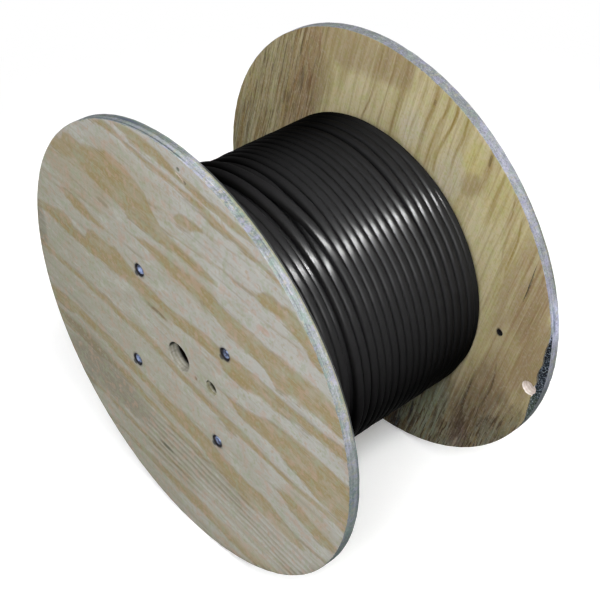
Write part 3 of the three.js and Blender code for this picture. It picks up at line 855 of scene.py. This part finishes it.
def holeMaterial(name, look):
    # walls of the drilled holes: plies and glue lines, dirt, and painted shade deep in and under the top edge
    paint = Paint(name)
    x, y, z, where = objectPlace(paint)
    depth = (drum["outerFace"] - abs(x)) * 1000
    (cy, cz), radius, deep, shade, light, dark, line, dirt, amount = look
    stops = [(a / plyEdges[-1], colour(*(dark if k % 2 else light))) for k, a in enumerate(plyEdges[:-1])]
    paint.body = paint.ramp(depth * (1 / plyEdges[-1]), stops, "CONSTANT")
    streak = paint.grain(x * 900, y * 60, z * 60, 3.0, 0.6)
    paint.coats((streak, 0.48, 0.72, 0.5, line), (paint.noise(where, 90.0, 3.0), 0.40, 0.66, amount, dirt))
    top = ((y - cy) * 0.545 + (z - cz) * 0.839) * (1 / radius)
    shadow = depth.step(deep - 2.5, deep + 2.5).largest(top.step(0.60, 0.80) * depth.step(0.5, 2.0))
    paint.lay(shadow * shade, (10, 14, 12))
    return paint.finish(0.88, streak, 0.0008, 0.5, Specular_IOR_Level=0.06)


def recessMaterial():
    # counterbores round the bolts: the wood very dark and blotched
    paint = Paint("ply_recess")
    blot = paint.noise(objectPlace(paint)[3], 160.0, 3.0)
    paint.start(blot.step(0.35, 0.68), (22, 23, 30), (48, 44, 44))
    return paint.finish(0.85, blot, 0.0008, 0.4, Specular_IOR_Level=0.1)


def coreMaterial():
    # where the face ply has come away: blue black wood, mould in slanting rows, greener at the foot
    paint = Paint("ply_core")
    y, z, where = objectPlace(paint)[1:]
    h, v = faceCoordinates(y, z)
    rows = paint.grain((h + v * 0.8) * 40, (v - h * 0.8) * 120, 3.0, 3.0, 0.7)
    speck = paint.noise(where, 330.0, 2.0, 0.7)
    cloud = paint.noise(where, 60.0, 2.0)
    paint.start(cloud.step(0.35, 0.65), (5, 7, 16), (26, 34, 42))
    paint.coats((v + (cloud - 0.5) * 0.1, -0.18, -0.33, 0.75, (88, 102, 88)),
                (rows, 0.52, 0.62, 0.70, (98, 112, 130)), (speck, 0.52, 0.60, 0.8, (10, 13, 24)),
                (speck, 0.43, 0.33, 0.7, (150, 162, 172)))
    return paint.finish(0.9, speck, 0.0015, 0.7, Specular_IOR_Level=0.1)


# marks on the edges: depth from the outer face and half width (mm), first and last angle, tone, strength;
# lines are drawn over all the rest, and the near edge's last is the inner arris rubbed black by the sheath
edgeLooks = {
    "near": {
        "tones": {
            "long": (148, 152, 154), "end": (128, 134, 136), "glue": (66, 76, 84), "dull": (106, 115, 112),
            "worn": (196, 198, 206), "shaded": (84, 96, 94), "cool": (160, 154, 188),
            "green": (118, 146, 130), "warm": (168, 160, 132), "navy": (64, 66, 104),
            "lavender": (188, 190, 222), "teal": (70, 98, 98), "inner": (50, 50, 40),
            "olive": (136, 132, 92), "soot": (24, 24, 22),
        },
        # painted shade: the near edge is darkened outside the stretch between these angles, and the marks in
        # the grey-green tone at 60 to 80 degrees and past 170 are painted shade as well
        "litStretch": (90, 168), "shadeAmount": 0.40, "hue": 1.2, "grit": 1.1,
        "marks": [
            (.6, 1.4, 40, 99, "worn", .25), (3.4, 1.4, 62, 99, "glue", .95), (7.2, 2, 66, 99, "worn", .45),
            (14.8, 4.2, 66, 99, "inner", .4), (9, 9, 98, 108, "lavender", .15),
            (4.6, .9, 101, 152, "glue", .45), (9.5, 12, 109, 124, "dull", .95),
            (14.2, 2.2, 98, 168, "olive", .3), (9.5, 12, 60, 80, "shaded", .6), (9.5, 12, 76, 97, "dull", .35),
            (1, 2.5, 140, 178, "dull", .6), (6, 6, 179, 185, "teal", .75), (8, 5, 190, 198, "teal", .55),
            (17.5, 3.5, 170, 190, "shaded", .6), (10, 14, 196, 222, "shaded", .9),
        ],
        "lines": [
            (3.3, .9, 66, 98, "glue", .8), (13.3, 2.8, 66, 97, "inner", .4),
            (13.2, 2.2, 74, 81, "navy", .85), (17.5, 2.8, 170, 188, "shaded", .45),
            (14.9, .7, 100, 167, "olive", .75), (18, 2.1, 101, 167, "soot", .93),
        ],
    },
    "far": {
        "tones": {
            "long": (148, 150, 160), "end": (124, 127, 136), "glue": (70, 74, 84), "dull": (108, 113, 113),
            "worn": (190, 192, 202), "shaded": (62, 66, 64), "cool": (150, 146, 182),
            "green": (128, 148, 130), "warm": (166, 158, 134), "lavender": (196, 198, 224),
            "slate": (84, 94, 122), "olive": (96, 98, 80),
        },
        # painted shade: the far edge is darkened outside the stretch between these angles
        "litStretch": (-60, 190), "shadeAmount": 0.75, "hue": 1.0, "grit": 1.5,
        "marks": [
            (9.5, 12, 62, 122, "dull", .8), (9.5, 12, 150, 164, "dull", .3), (2, 2.4, 138, 164, "olive", .7),
            (8, 9, 166, 176, "lavender", .85), (12.2, 1.6, 167.2, 168.4, "slate", .9),
            (12, 2, 171, 173, "slate", .9), (3, 4, 178, 190, "olive", .55), (6, 7, 186, 196, "slate", .35),
        ],
        "lines": [
            (2.4, 1.2, 146, 163, "olive", .45), (10.5, 2.4, 167, 174.5, "slate", .45),
        ],
    },
}
axisPlace = (0.0, axisHeight)
holeLooks = {
    # middle, radius, how far in the painted shade begins (mm), how dark it is; pale ply, cross ply, glue,
    # dirt, how much
    "bore": (axisPlace, drum["boreRadius"], 16.5, 0.92, (176, 174, 162), (162, 158, 144), (118, 114, 100),
             (100, 100, 86), 0.35),
    "drive": (polar(*drum["driveHole"][:2]), drum["driveHole"][2], 8.0, 0.90, (182, 180, 166),
              (168, 164, 138), (120, 112, 70), (112, 106, 62), 0.35),
    "tie": (axisPlace, 1.0, 30.0, 0.0, (232, 224, 218), (218, 206, 198), (180, 160, 140), (164, 144, 128),
            0.3),
    # painted shade: the lashing hole's wall is near black all through, standing for its unlit inside
    "lashing": (axisPlace, 1.0, 30.0, 0.0, (10, 9, 10), (9, 8, 9), (6, 6, 6), (6, 5, 6), 0.5),
}
boreWall, driveWall, tieWall, lashingShadeWall = [holeMaterial(f"ply_{name}_wall", look)
                                             for name, look in holeLooks.items()]
nearFace = nearFaceMaterial()
farFace = farFaceMaterial()
nearBack = spareFaceMaterial("ply_near_back", 10.0, 40.0)
farBack = spareFaceMaterial("ply_far_back", -6.0, 60.0)
nearEdge, farEdge = [edgeMaterial(f"ply_{name}_edge", look) for name, look in edgeLooks.items()]
core = coreMaterial()
recessWall = recessMaterial()
print("wood materials made")


flangeShape = {
    "steps": 720,
    "faceRings": 18,
    "edgePoints": 40,
    "edgeRound": 0.0011,
    "grooveDepth": 0.00035,
    "endGrainSink": 0.00025,
    "voids": 22,
    "holeSides": 56,
    "recessRadius": 0.0110,     # of the counterbores for the washers
    "recessFloor": 0.203,       # x of their floors
    "boltClearance": 0.0055,    # radius of the bolt holes
    "cutBeyond": 0.004,         # how far the cutters stand out of the faces
    # where the surfaces of the cut flange begin and end
    "skin": 0.0004,
    "rimBand": 0.0045,
    "tearDepth": 0.0025,
    "recessReach": 0.0125,
    "holeReach": 0.005,
}


beyond = flangeShape["cutBeyond"]
clear = thickness + beyond
through = [(-beyond, 0), (thickness / 2, 0), (clear, 0)]


def edgeRelief(across, angle, seed):
    # how far the sawn edge stands back: round arrises, glue grooves, sunk end grain, voids, chips
    depth = across * 1000
    shape = flangeShape
    corner = np.minimum(across, thickness - across)
    soft = shape["edgeRound"] * (1 + 0.35 * ringNoise(angle, seed, 20, 90))
    inside = np.clip(1 - corner / soft, 0, 1)
    relief = soft * (1 - np.sqrt(np.clip(1 - inside ** 2, 0, 1)))
    for k, line in enumerate(plyEdges[1:-1]):
        strength = 0.6 + 0.4 * ringNoise(angle, seed + k, 5, 40)
        relief = relief + shape["grooveDepth"] * strength * np.exp(-((depth - line) / 0.28) ** 2)
    number = np.searchsorted(plyEdges[1:-1], depth)
    upward = np.sin(angle) ** 2
    endness = np.where(number % 2 == 1, upward, 1 - upward)
    uneven = ringNoise(angle, seed + 11, 60, 300, 30)
    relief = relief + shape["endGrainSink"] * endness * (0.7 + 0.3 * uneven)
    draw = np.random.default_rng(seed)
    for k in range(shape["voids"]):
        at = draw.uniform(0, 2 * np.pi)
        line = plyEdges[1 + draw.integers(6)] + draw.normal(0, 0.5)
        length = draw.uniform(0.004, 0.014) / rimRadius
        gap = np.angle(np.exp(1j * (angle - at)))
        pit = np.exp(-(gap / length) ** 2 - ((depth - line) / 0.55) ** 2)
        relief = relief + draw.uniform(0.0008, 0.0026) * pit
    for k, side in enumerate((across, thickness - across)):
        chip = np.clip(ringNoise(angle, seed + 21 + k, 30, 160, 24) - 1.5, 0, 1)
        relief = relief + 0.0030 * chip * np.exp(-(side / 0.0016) ** 2)
    return np.maximum(relief, 0)


def flangeBody(name, side, seed, materials):
    # a section of face, edge, face and bore wall carried round the axis; it closes both ways
    shape = flangeShape
    angle = fullTurn(shape["steps"])[None, :]
    bore = drum["boreRadius"]
    radii = np.linspace(bore + 0.0022, rimRadius - 0.0026, shape["faceRings"])
    radii = np.concatenate([[bore + 0.0008], radii, [rimRadius - 0.0012]])
    across = np.linspace(0, 1, shape["edgePoints"])
    across = thickness * (0.5 - 0.5 * np.cos(np.pi * across) * 0.35 - 0.65 * (0.5 - across))
    across = thickness * (across - across[0]) / (across[-1] - across[0])
    rim = rimRadius - edgeRelief(across[:, None], angle, seed)
    wall = np.linspace(thickness, 0, 16)[:, None]
    wallCorner = np.clip(1 - np.minimum(wall, thickness - wall) / 0.0012, 0, 1)
    wallNoise = 0.00025 * ringNoise(angle, seed + 31, 3, 40) + 0.0002 * np.cos(wall * 2200)
    hole = bore + wallCorner ** 2 * 0.0004 * (1 + 0.4 * ringNoise(angle, seed + 32, 6, 40)) + wallNoise
    face = radii[:, None] * np.ones_like(angle)
    radius = np.concatenate([face, rim, face[::-1], hole])
    depth = np.concatenate([np.zeros(len(radii)), across, np.full(len(radii), thickness), wall[:, 0]])
    points = onCircles(side * (drum["outerFace"] - depth[:, None]), radius, angle)
    return meshObject(name, points, [gridFaces(*radius.shape, True, True)], materials)


def drill(side, y, z, profile, seed, wobble=0.00022):
    # a hole: depths from the outer face and radii, a little out of round, its wall marked by the plies
    def rough(x, around):
        ridges = np.cos(x * 2200 + ringNoise(around, seed + 1, 1, 5))
        return wobble * (ringNoise(around, seed, 2, 12) + 0.8 * ridges)

    profile = [(side * (drum["outerFace"] - depth), radius) for depth, radius in profile]
    return sweep(lathe(profile, y, z, flangeShape["holeSides"], rough))


def drillNamed(side, hole, seed, profile, wobble=0.00022):
    # one of the drum's holes: depths from the outer face, and how much wider it is there
    angle, distance, radius = drum[hole]
    y, z = polar(angle, distance)
    return drill(side, y, z, [(depth, radius + more) for depth, more in profile], seed, wobble)


def cutterObject(parts):
    # closed pieces, none touching another, as one object
    pieces = []
    start = 0
    for points, faceSets in parts:
        pieces += [faces + start for faces in turnedOut(points, faceSets)]
        start += len(points)
    return meshObject("cutter", np.concatenate([points for points, faceSets in parts]), pieces, [])


def boltCutters(side, seed):
    # stepped holes: a recess for the washer and the nut or head, then the bolt's clearance
    wide, narrow = flangeShape["recessRadius"], flangeShape["boltClearance"]
    floor = drum["outerFace"] - flangeShape["recessFloor"]
    profile = [(-beyond, wide + 0.0005), (-0.0002, wide + 0.0003), (0.0008, wide), (floor * 0.5, wide),
               (floor, wide), (floor + 0.00001, narrow), (clear, narrow)]
    return [drill(side, y, z, profile, seed + k) for k, (y, z) in enumerate(boltCentres)]


def spindleCutter(x, h, v, tilt, length, width, depth, seed):
    # a torn place on a face: a lens drawn out along the grain, ragged at its edges
    rows = 40
    t = np.linspace(-1, 1, rows)[1:-1, None]
    around = fullTurn(14)[None, :]
    ragged = 1 + 0.25 * np.random.default_rng(seed).normal(0, 1, (rows - 2, 1))
    bulge = np.sqrt(1 - t ** 2) * ragged
    along = t * length / 2
    sideways = bulge * width / 2 * np.cos(around)
    inward = bulge * depth * np.sin(around)
    c, s = math.cos(math.radians(tilt)), math.sin(math.radians(tilt))
    hh = h * rimRadius + along * c - sideways * s
    vv = v * rimRadius + along * s + sideways * c
    return sweep(np.stack([x + inward, -hh, axisHeight + vv], -1))


def brokenPly():
    # the strip of face ply broken off along the grain at the far rim: a ragged slab, which reaches this far
    # each way along the grain and this far out
    reach, outside = 0.125, 0.40
    q = np.linspace(-reach, reach, 240)
    draw = np.random.default_rng(5)

    def spread(values):
        return np.interp(q, np.linspace(-reach, reach, len(values)), values)

    start = drum["breakChord"] + spread(draw.normal(0, 0.0011, 26)) + spread(draw.normal(0, 0.00035, 120))
    share = np.linspace(0, 1, 16)
    p = start[:, None] + (outside - start[:, None]) * share[None, :]
    rough = np.stack([spread(lumps) for lumps in draw.normal(0, 1, (60, 8)).T], 1)
    rough = np.stack([np.interp(share, np.linspace(0, 1, 8), row) for row in rough])
    floorX = drum["innerFace"] + drum["breakDepth"] + 0.00035 * rough
    x = np.concatenate([floorX, np.full_like(floorX, drum["innerFace"] - beyond - 0.002)], 1)
    section = np.concatenate([p, p[:, ::-1]], 1)
    turn = math.radians(drum["breakAngle"])
    y = section * math.cos(turn) - q[:, None] * math.sin(turn)
    z = axisHeight + section * math.sin(turn) + q[:, None] * math.cos(turn)
    return sweep(np.stack([x, y, z], -1))


def sortMaterials(thing, side):
    # 0 outer face and torn places in it, 1 inner face, 2 sawn rim, 3 bore and bolt holes, 4 recesses, 5 drive
    # hole, 6 bared core, 7 tie hole, 8 lashing hole
    mesh = thing.data
    centre = np.zeros(len(mesh.polygons) * 3)
    normal = centre.copy()
    mesh.polygons.foreach_get("center", centre)
    mesh.polygons.foreach_get("normal", normal)
    x, y, z = centre.reshape(-1, 3).T
    reach = np.hypot(y, z - axisHeight)
    flat = np.abs(normal.reshape(-1, 3)[:, 0])
    depth = drum["outerFace"] - np.abs(x)
    shape = flangeShape
    index = np.where(reach > rimRadius - shape["rimBand"], 2, 3)
    index[(flat > 0.9) & (depth < shape["skin"])] = 0
    index[(flat > 0.9) & (depth > thickness - shape["skin"])] = 1
    if side < 0:
        for cy, cz in boltCentres:
            index[(np.hypot(y - cy, z - cz) < shape["recessReach"]) & (depth > 0.0001)] = 4
        torn = (reach > 0.2) | ((reach > 0.035) & (reach < 0.055))
        index[(index == 3) & (depth < shape["tearDepth"]) & torn] = 0
    else:
        turn = math.radians(drum["breakAngle"])
        outside = y * math.cos(turn) + (z - axisHeight) * math.sin(turn) > drum["breakChord"] - 0.0044
        bared = (flat > 0.5) & (depth > thickness - 0.0052) & (depth < thickness - 0.0015)
        index[bared & outside] = 6
    for which, hole in ((5, "driveHole"), (7, "tieHole"), (8, "lashingHole")):
        angle, distance, size = drum[hole]
        cy, cz = polar(angle, distance)
        index[(index == 3) & (np.hypot(y - cy, z - cz) < size + shape["holeReach"])] = which
    mesh.polygons.foreach_set("material_index", index.astype(np.int32))
    mesh.update()


def makeFlange(which, side, seed, materials, lots):
    # the body, then each lot of cutters taken away at once
    flange = flangeBody(f"{which}_plywood_flange", side, seed, materials)
    for parts in lots:
        cutAway(flange, cutterObject(parts))
    sortMaterials(flange, side)
    shadeSmooth(flange.data, 35)
    dress(flange, f"{which}_flange")
    print(which, "flange:", len(flange.data.polygons), "faces")


nearParts = [
    *boltCutters(-1, 200),
    drillNamed(-1, "driveHole", 210, [(-beyond, 0.0002), (0.0008, 0), *through[1:]]),
    spindleCutter(-drum["outerFace"], 0.129, 0.909, -39, 0.022, 0.006, 0.0012, 3),
    spindleCutter(-drum["outerFace"], 0.105, -0.044, -8, 0.006, 0.003, 0.0012, 4),
]
farParts = [
    *boltCutters(1, 400),
    drillNamed(1, "driveHole", 410, through),
    drillNamed(1, "tieHole", 420, [*through[:2], (thickness - 0.0012, 0), (clear, 0.0035)], 0.0004),
    drillNamed(1, "lashingHole", 430, through),
    spindleCutter(drum["innerFace"], 0.864, 0.289, 77, 0.084, 0.0011, 0.0018, 6),
]
makeFlange("near", -1, 100, [nearFace, nearBack, nearEdge, boreWall, recessWall, driveWall], [nearParts])
makeFlange("far", 1, 300, [farBack, farFace, farEdge, boreWall, recessWall, driveWall, core, tieWall,
                           lashingShadeWall], [[brokenPly()], farParts])


cable = {
    "diameter": 0.01475,
    "firstLayer": 0.1855,            # radius of the innermost turns' centre line
    "rise": 0.01326,                 # from one layer to the next
    "layerTurns": (26, 27, 26, 27),  # below the outer layer
    "stepTurns": (-105.0, -30.0),    # degrees: where each turn steps over to the next place
    # mm along the axis of each turn of the outer layer
    "outerTurns": (
        -185.2, -170, -154.8, -139.5, -124.2, -109, -94.9, -79.2, -70, -53.3, -36.5, -22.8, -8.8, 5.4, 20.6,
        35.3, 49.4, 63.2, 77.3, 91.8, 106.4, 122.6, 138.2, 153.8, 168.8, 184,
    ),
    # mm that a turn stands above or below its layer
    "outerLift": {7: -7.0, 8: 2.5, 25: -4.4},
    # mm that turns lie to the far side up to 104 degrees, and still at 114 and at 127
    "drifts": {
        11: (3.4, 3.4, -.4), 12: (6, 5, 1.1), 13: (4.5, 2.8, 1.2), 14: (2.3, 1.4, -.3), 15: (1.5, 1.4, -.8),
        16: (2.7, 1.9, -.8), 17: (4.6, 2.8, -.4), 18: (4.9, 3.3, .2), 19: (4, 2.6, .3), 20: (3.9, 2.2, .5),
        21: (7.5, 5.3, 2.5), 22: (8.3, 5.9, 2), 23: (7.4, 5.9, 1.8), 24: (6.8, 6.5, 1.9),
    },
    # turns badly laid: angle, mm out of place along the axis, mm outwards; turn 10 rides over turn 9
    "strays": {
        7: [(0, 0, 0), (25, 0, -2), (112, 0, -2), (130, 0, 0), (178, .5, 0), (197, 3.5, 0), (225, 3.5, 0),
            (250, 0, 0)],
        8: [(0, 0, 0), (30, -3, 2.5), (95, -3.9, 3.5), (114, -2.5, 3), (127, -1.2, 2), (150, 0, 0),
            (178, .5, 0), (197, 3.5, 0), (225, 3.5, 0), (250, 0, 0)],
        9: [(6, 0, 0), (20, 4, -4.5), (32, 10.5, -6), (45, 15.5, -4), (60, 17.3, -2.5), (90, 17.3, -2.5),
            (104, 14.8, -5), (112, 10.3, -6), (118, 6.8, -5.8), (127, 2.3, -3.5), (137, .3, -1), (146, 0, 0),
            (170, 1.5, 0), (225, 1.5, 0), (250, 0, 0)],
        10: [(4, 0, 0), (20, -5, 6), (32, -10.5, 8), (45, -15, 7), (60, -17, 5), (90, -17, 5),
            (104, -14.5, 7.5), (114, -9, 8), (120, -6.5, 7.2), (127, -4.5, 5), (140, -1.5, 2), (152, 0, 0)],
        25: [(-20, 0, 0), (0, 1, -4.6), (108, 1, -4.6), (118, .5, -3), (128, 0, 0)],
    },
    "stepsPerTurn": 120,
    "sides": 24,
    "innerStepsPerTurn": 72,
    "innerSides": 10,
    "squareness": 3.3,               # 2 is round; more where tight turns press flat
}


def steppedTurns(places, perTurn, spare=0, done=0):
    # each turn steps over from the last one's place to its own between two angles; for each point along the
    # cable: how far it has turned, x, its turn, the share of the step done, the turn before, the angle
    low, high = cable["stepTurns"]
    whole = np.arange(len(places) * perTurn + spare) / perTurn
    turn = np.minimum(whole.astype(int), len(places) - 1)
    angle = low + 360 * (whole - turn)
    before = np.maximum(turn - 1, 0)
    share = ease(angle, low, high)
    x = places[before] + (places[turn] - places[before]) * share
    return np.radians(360 * (whole + done) + low), x, turn, share, before, angle


def outerPath():
    # centre line of the outer layer: angle, place along the axis and radius, turn by turn
    places = np.array(cable["outerTurns"])
    lift = np.zeros(len(places))
    for turn, amount in cable["outerLift"].items():
        lift[turn] = amount
    turning, x, turn, share, before, angle = steppedTurns(places, cable["stepsPerTurn"], 1)
    raised = lift[before] + (lift[turn] - lift[before]) * share + 3.6 * share * (1 - share)
    for which, (upper, middle, lower) in cable["drifts"].items():
        drift = np.interp(angle, (-5, 28, 104, 114, 127, 142), (0, upper, upper, middle, lower, 0))
        x = x + (turn == which) * drift
    for which, points in cable["strays"].items():
        angles, shift, out = np.array(points, float).T
        x = x + (turn == which) * np.interp(angle, angles, shift)
        raised = raised + (turn == which) * np.interp(angle, angles, out)
    # cable is stiff, so the corners of that path are rounded, and it wavers a little
    window = np.hanning(9)
    window /= window.sum()
    draw = np.random.default_rng(12)
    for values in (x, raised):
        values[4:-4] = np.convolve(values, window, "valid")
        for wave in range(12):
            values += 0.10 * np.sin(turning * draw.uniform(0.35, 2.6) + draw.uniform(0, 6.3))
    layers = len(cable["layerTurns"])
    return turning, x / 1000, cable["firstLayer"] + layers * cable["rise"] + raised / 1000


def innerPath():
    # centre line of the layers below, there and back between the flanges
    half = drum["innerFace"] - cable["diameter"] / 2
    runs = []
    done = 0
    for layer, turns in enumerate(cable["layerTurns"]):
        reach = half if turns == 27 else half * 25.0 / 26.0
        spots = np.linspace(-reach, reach, turns) * (1 if layer % 2 == 0 else -1)
        turning, x, turn, share = steppedTurns(spots, cable["innerStepsPerTurn"], 0, done)[:4]
        climb = np.where((turn == 0) & (layer > 0), share - 1, 0.0)
        runs.append((turning, x, cable["firstLayer"] + cable["rise"] * (layer + climb)))
        done += turns
    return [np.concatenate(values) for values in zip(*runs)]


def tube(turning, x, radius, sides):
    # a circle of the cable's size carried along the path, square to it
    outward = onCircles(0 * turning, 1.0, turning, 0.0, 0.0)
    centre = onCircles(x, radius, turning)
    tangent = np.gradient(centre, axis=0)
    tangent /= np.linalg.norm(tangent, axis=1)[:, None]
    sideways = np.cross(tangent, outward)
    sideways /= np.linalg.norm(sideways, axis=1)[:, None]
    around = fullTurn(sides)[None, :, None]
    power = cable["squareness"]
    fat = (np.abs(np.cos(around)) ** power + np.abs(np.sin(around)) ** power) ** (-1 / power)
    ring = fat * (np.cos(around) * outward[:, None] + np.sin(around) * sideways[:, None])
    length = np.concatenate([[0], np.cumsum(np.linalg.norm(np.diff(centre, axis=0), axis=1))])
    return centre[:, None] + ring * cable["diameter"] / 2, length


def addLengthAttribute(thing, length, sides):
    # how far along the cable each point is, and where round it, for patterns that follow it
    around = np.tile(fullTurn(sides), len(length))
    track = np.stack([np.repeat(length, sides), np.cos(around), np.sin(around)], -1)
    layer = thing.data.attributes.new("track", "FLOAT_VECTOR", "POINT")
    layer.data.foreach_set("vector", track.astype(np.float32).ravel())


def sheathMaterial():
    # black extruded sheath: faint draw lines along it, a thin film of dust that dulls it, small scuffs
    paint = Paint("cable_sheath_black")
    track = paint.add("Attribute", output="Vector", attribute_name="track")
    along = paint.add("SeparateXYZ", [track])
    p, q = along.other("Y"), along.other("Z")
    y, z, where = objectPlace(paint)[1:]
    draws = paint.grain(along * 1.5, p * 9, q * 9)
    dust = paint.noise(where, 14.0, 4.0, 0.6)
    scuff = paint.grain(along * 40, p * 3, q * 3, 3.0, 0.65)
    # painted light: the stretch round the drum that faces the lamps is greyer and glossier, the sides turned
    # from them plain black; the back and underside, out of sight, are made part grey
    around = angleAround(y, z)
    hidden = around.step(46, 20).largest(around.step(224, 250))
    worn = (around.step(66, 112) * around.step(200, 150)).largest(hidden * 0.6)
    paint.start(worn * (0.75 + dust.step(0.40, 0.80) * 0.25), (2, 2, 2), (38, 38, 39))
    paint.coats((scuff, 0.66, 0.82, worn * 0.30, (54, 55, 58)))
    gloss = 0.004 + worn * (0.145 - dust.step(0.35, 0.75) * 0.05 - scuff.step(0.60, 0.80) * 0.03)
    return paint.finish(0.58 + dust * 0.1, draws * 0.5 + scuff * 0.2, 0.0004, 0.12,
                        Specular_IOR_Level=0.004, Coat_Weight=gloss, Coat_Roughness=0.25)


def layCable(name, path, sides, node=None):
    # a length of cable along its path, as a piece of the drum
    sections, length = tube(*path, sides)
    thing = meshObject(name, *sweep(sections), [sheath], 60)
    addLengthAttribute(thing, length, sides)
    dress(thing, node)
    print(name, "made:", len(thing.data.polygons), "faces")


sheath = sheathMaterial()
layCable("cable_outer_layer", outerPath(), cable["sides"], "cable_winding")
layCable("cable_inner_layers", innerPath(), cable["innerSides"])


fixings = {
    "shankRadius": 0.00475,
    "acrossFlats": 0.0143,
    "headSeat": 0.2056,
    "headTop": 0.2120,
    "nutSeat": -0.2056,
    "nutTop": -0.2136,
    "boltEnd": -0.2142,
    "washerRadius": 0.010,
    "washerBore": 0.00515,
    "washerSeat": 0.2033,
    "washerTop": 0.2053,
    "washerBevel": 0.0003,
    "threadPitch": 0.0015,
    "threadDepth": 0.0009,
    "threadLength": 0.032,
    "columns": 72,
}


def zincMaterial():
    # zinc plate gone dull: blue grey, darker where greasy, a little white bloom, a few brown specks
    paint = Paint("zinc_plate")
    where = objectPlace(paint)[3]
    patch = paint.noise(where, 190.0, 3.0, 0.6)
    speck = paint.noise(where, 900.0, 2.0)
    paint.start(patch.step(0.38, 0.66), (124, 138, 172), (76, 88, 120))
    paint.coats((paint.noise(where, 95.0, 2.0), 0.46, 0.58, 0.85, (30, 34, 48)),
                (patch, 0.36, 0.26, 0.7, (196, 202, 214)), (speck, 0.66, 0.78, 0.5, (70, 58, 46)))
    return paint.finish(0.42 + patch * 0.2, speck, 0.0001, 0.3, Metallic=0.85)


def hexSections(stations, y, z, phase):
    # sections (x, largest radius, hexagon or not); the hexagon is cut back by the cone of its bevel
    around = fullTurn(fixings["columns"])
    flats = fixings["acrossFlats"] / 2 / np.cos((around - phase + np.pi / 6) % (np.pi / 3) - np.pi / 6)
    return np.array([onCircles(x, np.minimum(flats if isHex else limit, limit + 0 * around), around, y, z)
                     for x, limit, isHex in stations])


def boltPiece(y, z, phase):
    # head, plain shank and thread in one turned piece
    f = fixings
    flat = f["acrossFlats"] / 2
    corner = flat / math.cos(math.pi / 6) + 1e-4
    top, seat, shank, end = f["headTop"], f["headSeat"], f["shankRadius"], f["boltEnd"]
    head = hexSections([(top, flat * 0.86, False), (top - 0.0002, flat * 0.96, False),
                        (top - 0.0006, flat * 1.05, True), (top - 0.0012, corner, True),
                        (seat + 0.0005, corner, True), (seat + 0.0003, flat * 0.97, False),
                        (seat, flat * 0.95, False), (seat, shank, False)], y, z, phase)
    start = end + f["threadLength"]
    plain = lathe([(x, shank) for x in np.linspace(seat - 0.002, start + 0.002, 8)], y, z, f["columns"])
    x = np.linspace(start, end, 150)[:, None]
    around = fullTurn(f["columns"])[None, :]
    ridge = np.abs((x / f["threadPitch"] - around / (2 * np.pi)) % 1 - 0.5) * 2
    endBevel = np.clip(1 - (x - end) / 0.0011, 0, 1) * 0.0011
    radius = shank - f["threadDepth"] * ridge * ease(x, start, start - 0.004) - endBevel
    return sweep(np.concatenate([head, plain, onCircles(x, radius, around, y, z)]))


def ring(sections):
    # closed sections joined one to the next and the last to the first
    rows, columns = sections.shape[:2]
    return sections, [gridFaces(rows, columns, True, True)]


def nutPiece(y, z, phase):
    # round the outside from the top down to the seat and back up through the bore
    f = fixings
    flat = f["acrossFlats"] / 2
    corner = flat / math.cos(math.pi / 6) + 1e-4
    top, seat, bore = f["nutTop"], f["nutSeat"], f["shankRadius"] + 0.0001
    return ring(hexSections([(top + 0.0006, bore, False), (top, bore + 0.0006, False),
                             (top, flat * 0.90, False), (top + 0.0001, flat * 0.95, False),
                             (top + 0.0007, flat * 1.05, True), (top + 0.0014, corner, True),
                             (seat - 0.0014, corner, True), (seat - 0.0007, flat * 1.05, True),
                             (seat, flat * 0.95, False), (seat, bore + 0.0006, False),
                             (seat - 0.0006, bore, False)], y, z, phase))


def washerPiece(low, high, y, z):
    inner, outer, b = fixings["washerBore"], fixings["washerRadius"], fixings["washerBevel"]
    return ring(lathe([(low + b, inner), (low, inner + b), (low, outer - b), (low + b, outer),
                       (high - b, outer), (high, outer - b), (high, inner + b), (high - b, inner)], y, z))


zinc = zincMaterial()
low, high = fixings["washerSeat"], fixings["washerTop"]
for k, (y, z) in enumerate(boltCentres):
    pieces = {
        "threaded_bolt": ("tie_bolt", boltPiece(y, z, math.radians(17 + 23 * k)), 32),
        "hex_nut": ("tie_nut", nutPiece(y, z, math.radians(5 + 37 * k)), 32),
        "flat_washer_head": ("head_washer", washerPiece(low, high, y, z), 30),
        "flat_washer_nut": ("nut_washer", washerPiece(-high, -low, y, z), 30),
    }
    for name, (node, (points, faceSets), sharpAngle) in pieces.items():
        thing = meshObject(f"{name}_{k + 1}", points, faceSets, [zinc], sharpAngle)
        dress(thing, f"{node}_{k + 1}")
print("bolts, nuts and washers made")


def fibreboardMaterial():
    # rolled brown fibreboard: winding seams that climb round it, pulp flecks, painted near black on the
    # inside as shade
    paint = Paint("fibreboard")
    x, y, z, where = objectPlace(paint)
    up = z - axisHeight
    fleck = paint.noise(where, 420.0, 3.0, 0.7)
    turn = up.math("ARCTAN2", up, y)
    seam = (x * 11.0 + turn * (1 / (2 * math.pi))).fraction()
    line = seam.step(0.0, 0.012) * seam.step(0.035, 0.02)
    paint.start(paint.noise(where, 18.0, 3.0).step(0.35, 0.7), (126, 98, 66), (104, 80, 54))
    paint.coats((fleck, 0.58, 0.75, 0.4, (150, 124, 90)))
    paint.lay(line * 0.6, (70, 54, 38))
    # painted shade: near black inside the tube, where the closed drum is unlit
    paint.coats(((y * y + up * up) ** 0.5, 0.171, 0.169, 0.85, (24, 20, 17)))
    return paint.finish(0.86, fleck + line * -0.6, 0.0004, 0.4, Specular_IOR_Level=0.25)


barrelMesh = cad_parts["barrel"].data
barrelMesh.materials.clear()
barrelMesh.materials.append(fibreboardMaterial())
print("barrel painted")
